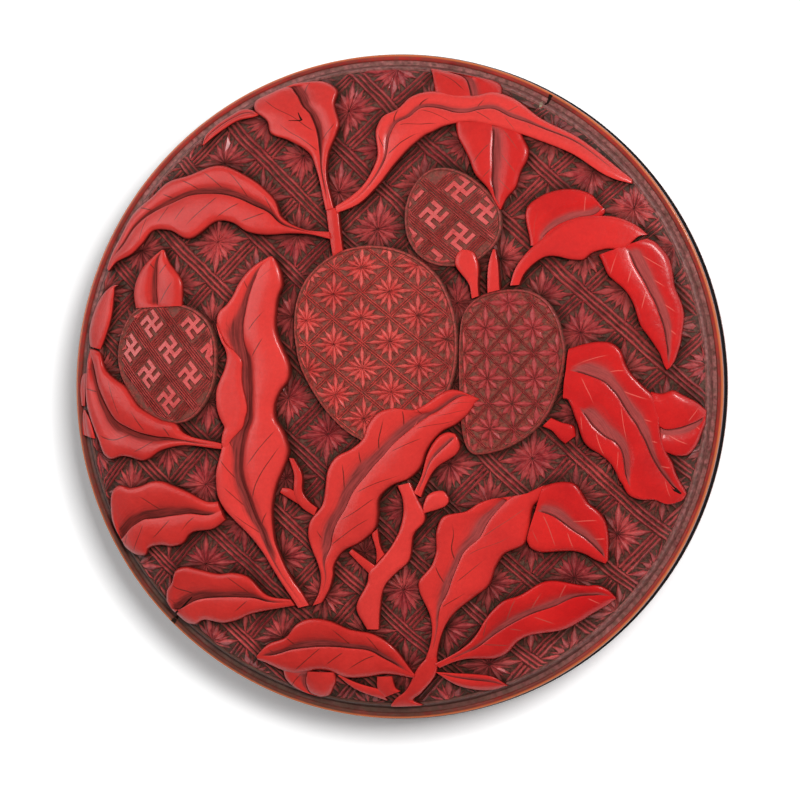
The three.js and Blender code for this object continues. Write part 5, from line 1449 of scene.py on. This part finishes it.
# %% Lychee diapers
star_motif = Motif((4.6, 4.3), (4.8, -3.9))
star_motif.star(12, 0.47, 0.13, 0.56, reach=1.0)
star_motif.star(12, 0.47, 0.05, 0.26, first=60.0, reach=0.80)
star_motif.bands(2, 0.060, 0.048, 0.42, 0.05, 4)
small_star = Motif((3.67, 4.1), (4.02, -4.1))
small_star.star(8, 0.47, 0.19, 0.56, reach=1.0)
small_star.star(8, 0.47, 0.07, 0.26, first=67.5, reach=0.82)
small_star.bands(2, 0.056, 0.042, 0.40, 0.04, 4)
wan_small = Motif((4.2, 4.25), (4.35, -3.6))
wan_small.bands(4, 0.066, 0.050, 0.50, 0.13, 4)
wan_small.wan(0.32, 0.14, 0.5)
wan_left = Motif((3.9, 4.0), (3.55, -4.3))
wan_left.bands(4, 0.068, 0.050, 0.54, 0.14, 4)
wan_left.wan(0.31, 0.14, 0.5)
for name, motif, origin, count, seed, finish in (
        ("large_lychee", star_motif, (-2.8, 11.2), 11, 5, FRUIT_CARVING),
        ("right_lychee", small_star, (21.8, 5.4), 13, 6, FRUIT_CARVING),
        ("small_lychee", wan_small, (9.0, 28.0), 9, 7, WAN_CARVING),
        ("left_lychee", wan_left, (-35.8, 6.1), 9, 8, WAN_CARVING)):
    carving = lay(name + "_carving", fruit_fields[name], motif, origin, count, 0.1, seed, finish, 150.0,
                  FRUIT_LEVEL)
    dress(carving, "cover", "cinnabar_lacquer", "cover_carved_coat")

# %% [markdown]
# ## Old damage
# Two cracks cross the rim, one of them filled with pale paste, and a few small nicks mark the leaves.
# Each is a thin sliver that follows whatever surface lies under it.

# %% Cracks and nicks
CRACK = plain_lacquer(
    "crack_shadow", (0.010, 0.006, 0.005), (0.020, 0.010, 0.008), 900.0, 0.9, 0.1, 0.0, 0.0)
FILLER = plain_lacquer(
    "pale_filler", (0.52, 0.42, 0.30), (0.24, 0.15, 0.10), 1500.0, 0.9, 0.3, 0.0, 0.1)
SLIVER_LIFT, SLIVER_DEPTH = 0.05, 0.2
SLIVER_STEP = 0.12


def surface_under():
    """One search tree over everything on the cover."""
    corners, faces = [], []
    for obj in dressed["cover"]:
        first = len(corners)
        corners += [v.co[:] for v in obj.data.vertices]
        faces += [tuple(first + k for k in face.vertices) for face in obj.data.polygons]
    return BVHTree.FromPolygons(corners, faces)


def sliver(name, path, widths, material, surface):
    """A thin closed strip along a path of (x, y), with a width at each point."""
    path = np.array(path, dtype=float)
    run = run_along(path)
    stations = np.linspace(0.0, run[-1], int(run[-1] / SLIVER_STEP) + 2)
    widths = np.interp(stations, run, widths)
    path = np.column_stack([np.interp(stations, run, column) for column in path.T])
    along = np.gradient(path, axis=0)
    side = np.column_stack([-along[:, 1], along[:, 0]]) / np.linalg.norm(along, axis=1)[:, None]
    points = []
    for (x, y), (nx, ny), width in zip(path, side, widths):
        for k in (-0.5, 0.5):
            px, py = x + nx * width * k, y + ny * width * k
            hit = surface.ray_cast(Vector((px * MM, py * MM, RAY_START)), Vector((0, 0, -1)))[0]
            z = hit.z / MM if hit else ground_height(px, py)
            points += [(px, py, z - SLIVER_DEPTH), (px, py, z + SLIVER_LIFT)]
    faces = []
    for k in range(len(path) - 1):
        a = 4 * k
        faces += [(a + 1, a + 5, a + 7, a + 3), (a + 2, a + 6, a + 4, a), (a, a + 4, a + 5, a + 1),
                  (a + 3, a + 7, a + 6, a + 2)]
    end = len(points)
    faces += [(0, 1, 3, 2), (end - 2, end - 1, end - 3, end - 4)]
    faces = [tuple(reversed(f)) for f in faces]
    obj = make_object(name, points, faces, material)
    return dress(obj, "cover", "cinnabar_lacquer", "cover_carved_coat")


on_top = surface_under()
for name, path, widths, material in (
        ("rim_crack", [(26.3, 47.9), (26.0, 47.3), (25.74, 46.8), (25.5, 46.2)],
         (0.7, 0.5, 0.4, 0.25), CRACK),
        ("rim_filler", [(24.9, 46.8), (24.9, 46.2), (24.75, 45.5)], (0.25, 0.45, 0.3), FILLER),
        ("leaf_crack", [(-33.31, -34.88), (-34.24, -35.63), (-35.35, -36.58), (-36.47, -37.48),
                        (-37.4, -38.21)], (0.15, 0.26, 0.3, 0.3, 0.34), CRACK),
        ("rim_notch", [(-37.3, -38.3), (-37.8, -38.95), (-38.1, -39.4)], (0.35, 0.8, 0.85), CRACK),
        ("leaf_nick", [(-14.82, 45.11), (-14.39, 44.34), (-14.02, 43.77)], (0.1, 0.25, 0.34), CRACK),
        ("leaf_scratch", [(-16.3, 43.81), (-15.3, 43.77), (-14.16, 43.77)], (0.08, 0.12, 0.2), CRACK),
        ("tip_pit", [(47.22, -16.16), (47.79, -16.73), (48.64, -17.44)], (0.2, 0.6, 0.25), CRACK)):
    sliver(name, path, widths, material, on_top)
print("cracks and nicks placed")

# %% [markdown]
# ## The picture
# The box lies on a white table and is seen almost from above, with a little of its right flank showing.
# Two soft lamps on the left lay a pale veil on the slopes that face them. The key lamp, high up on the
# right, throws the soft shadow to the lower left, and a small low one draws the thin lines of light.

# %% Table, lamps and camera
TABLE_GLOW = 0.15
TABLE_GREY = (0.75, 0.75, 0.75)
ROOM_LIGHT = 0.09
LAMP_AIM, CAMERA_AIM = Vector((0, 0, 0.02)), Vector((0, 0, 0.023))
table_mesh = bpy.data.meshes.new("table")
table_mesh.from_pydata([(-2, -2, 0), (2, -2, 0), (2, 2, 0), (-2, 2, 0)], [], [(0, 1, 2, 3)])
table = new_object("table", table_mesh)
table_finish = bpy.data.materials.new("white_table")
table_finish.use_nodes = True
paper = Nodes(table_finish.node_tree)
seen = paper.add("ShaderNodeLightPath", out="Is Camera Ray")
paper.fill(table_finish.node_tree.nodes["Principled BSDF"], {
    "Roughness": 0.9, "Specular IOR Level": 0.0, "Base Color": paper.mix(seen, TABLE_GREY, WHITE),
    "Emission Strength": paper.math("MULTIPLY", seen, TABLE_GLOW), "Emission Color": WHITE})
table_mesh.materials.append(table_finish)


def lamp(name, place, size, power):
    data = bpy.data.lights.new(name, "AREA")
    data.shape = "RECTANGLE"
    data.size, data.size_y = size
    data.energy = power
    obj = new_object(name, data)
    obj.location = place
    obj.rotation_euler = (LAMP_AIM - Vector(place)).to_track_quat("-Z", "Y").to_euler()
    return obj


key = lamp("key_overhead", (0.405, 0.145, 1.12), (0.22, 0.22), 12.5)
key.visible_glossy = False
lamp("veil_left", (-0.62, 0.30, 0.70), (0.8, 0.6), 2.0)
veil_low = lamp("veil_low", (-0.92, 0.30, 0.38), (0.7, 0.5), 1.7)
glint = lamp("glint_right", (0.80, 0.55, 0.39), (0.15, 0.15), 3.9)
for mirror_only in (veil_low, glint):
    mirror_only.visible_diffuse = False
world = bpy.data.worlds.new("studio")
bpy.context.scene.world = world
world.use_nodes = True
Nodes(world.node_tree).fill(world.node_tree.nodes["Background"], {"Color": WHITE, "Strength": ROOM_LIGHT})

TILT = math.radians(13)
DISTANCE = 0.9
PIXELS_PER_MM = 6.045
FRAME_WIDTH, FRAME_HEIGHT = 800, 789
CENTRE_X, CENTRE_Y = 396.0, 386.5
camera_data = bpy.data.cameras.new("camera")
camera_data.sensor_width = 36.0
camera_data.sensor_fit = "HORIZONTAL"
camera_data.lens = PIXELS_PER_MM * DISTANCE / MM * camera_data.sensor_width / FRAME_WIDTH
camera_data.shift_x = (FRAME_WIDTH / 2 - CENTRE_X) / FRAME_WIDTH
camera_data.shift_y = (CENTRE_Y - FRAME_HEIGHT / 2) / FRAME_WIDTH
camera = new_object("camera", camera_data)
back = Vector((math.sin(TILT), 0.0, math.cos(TILT)))
camera.location = CAMERA_AIM + back * DISTANCE
up = Vector((0.0, 1.0, 0.0))
camera.rotation_euler = Matrix((up.cross(back), up, back)).transposed().to_euler()
bpy.context.scene.camera = camera
bpy.context.scene.view_settings.view_transform = "Standard"
print("lens", round(camera_data.lens, 1), "mm")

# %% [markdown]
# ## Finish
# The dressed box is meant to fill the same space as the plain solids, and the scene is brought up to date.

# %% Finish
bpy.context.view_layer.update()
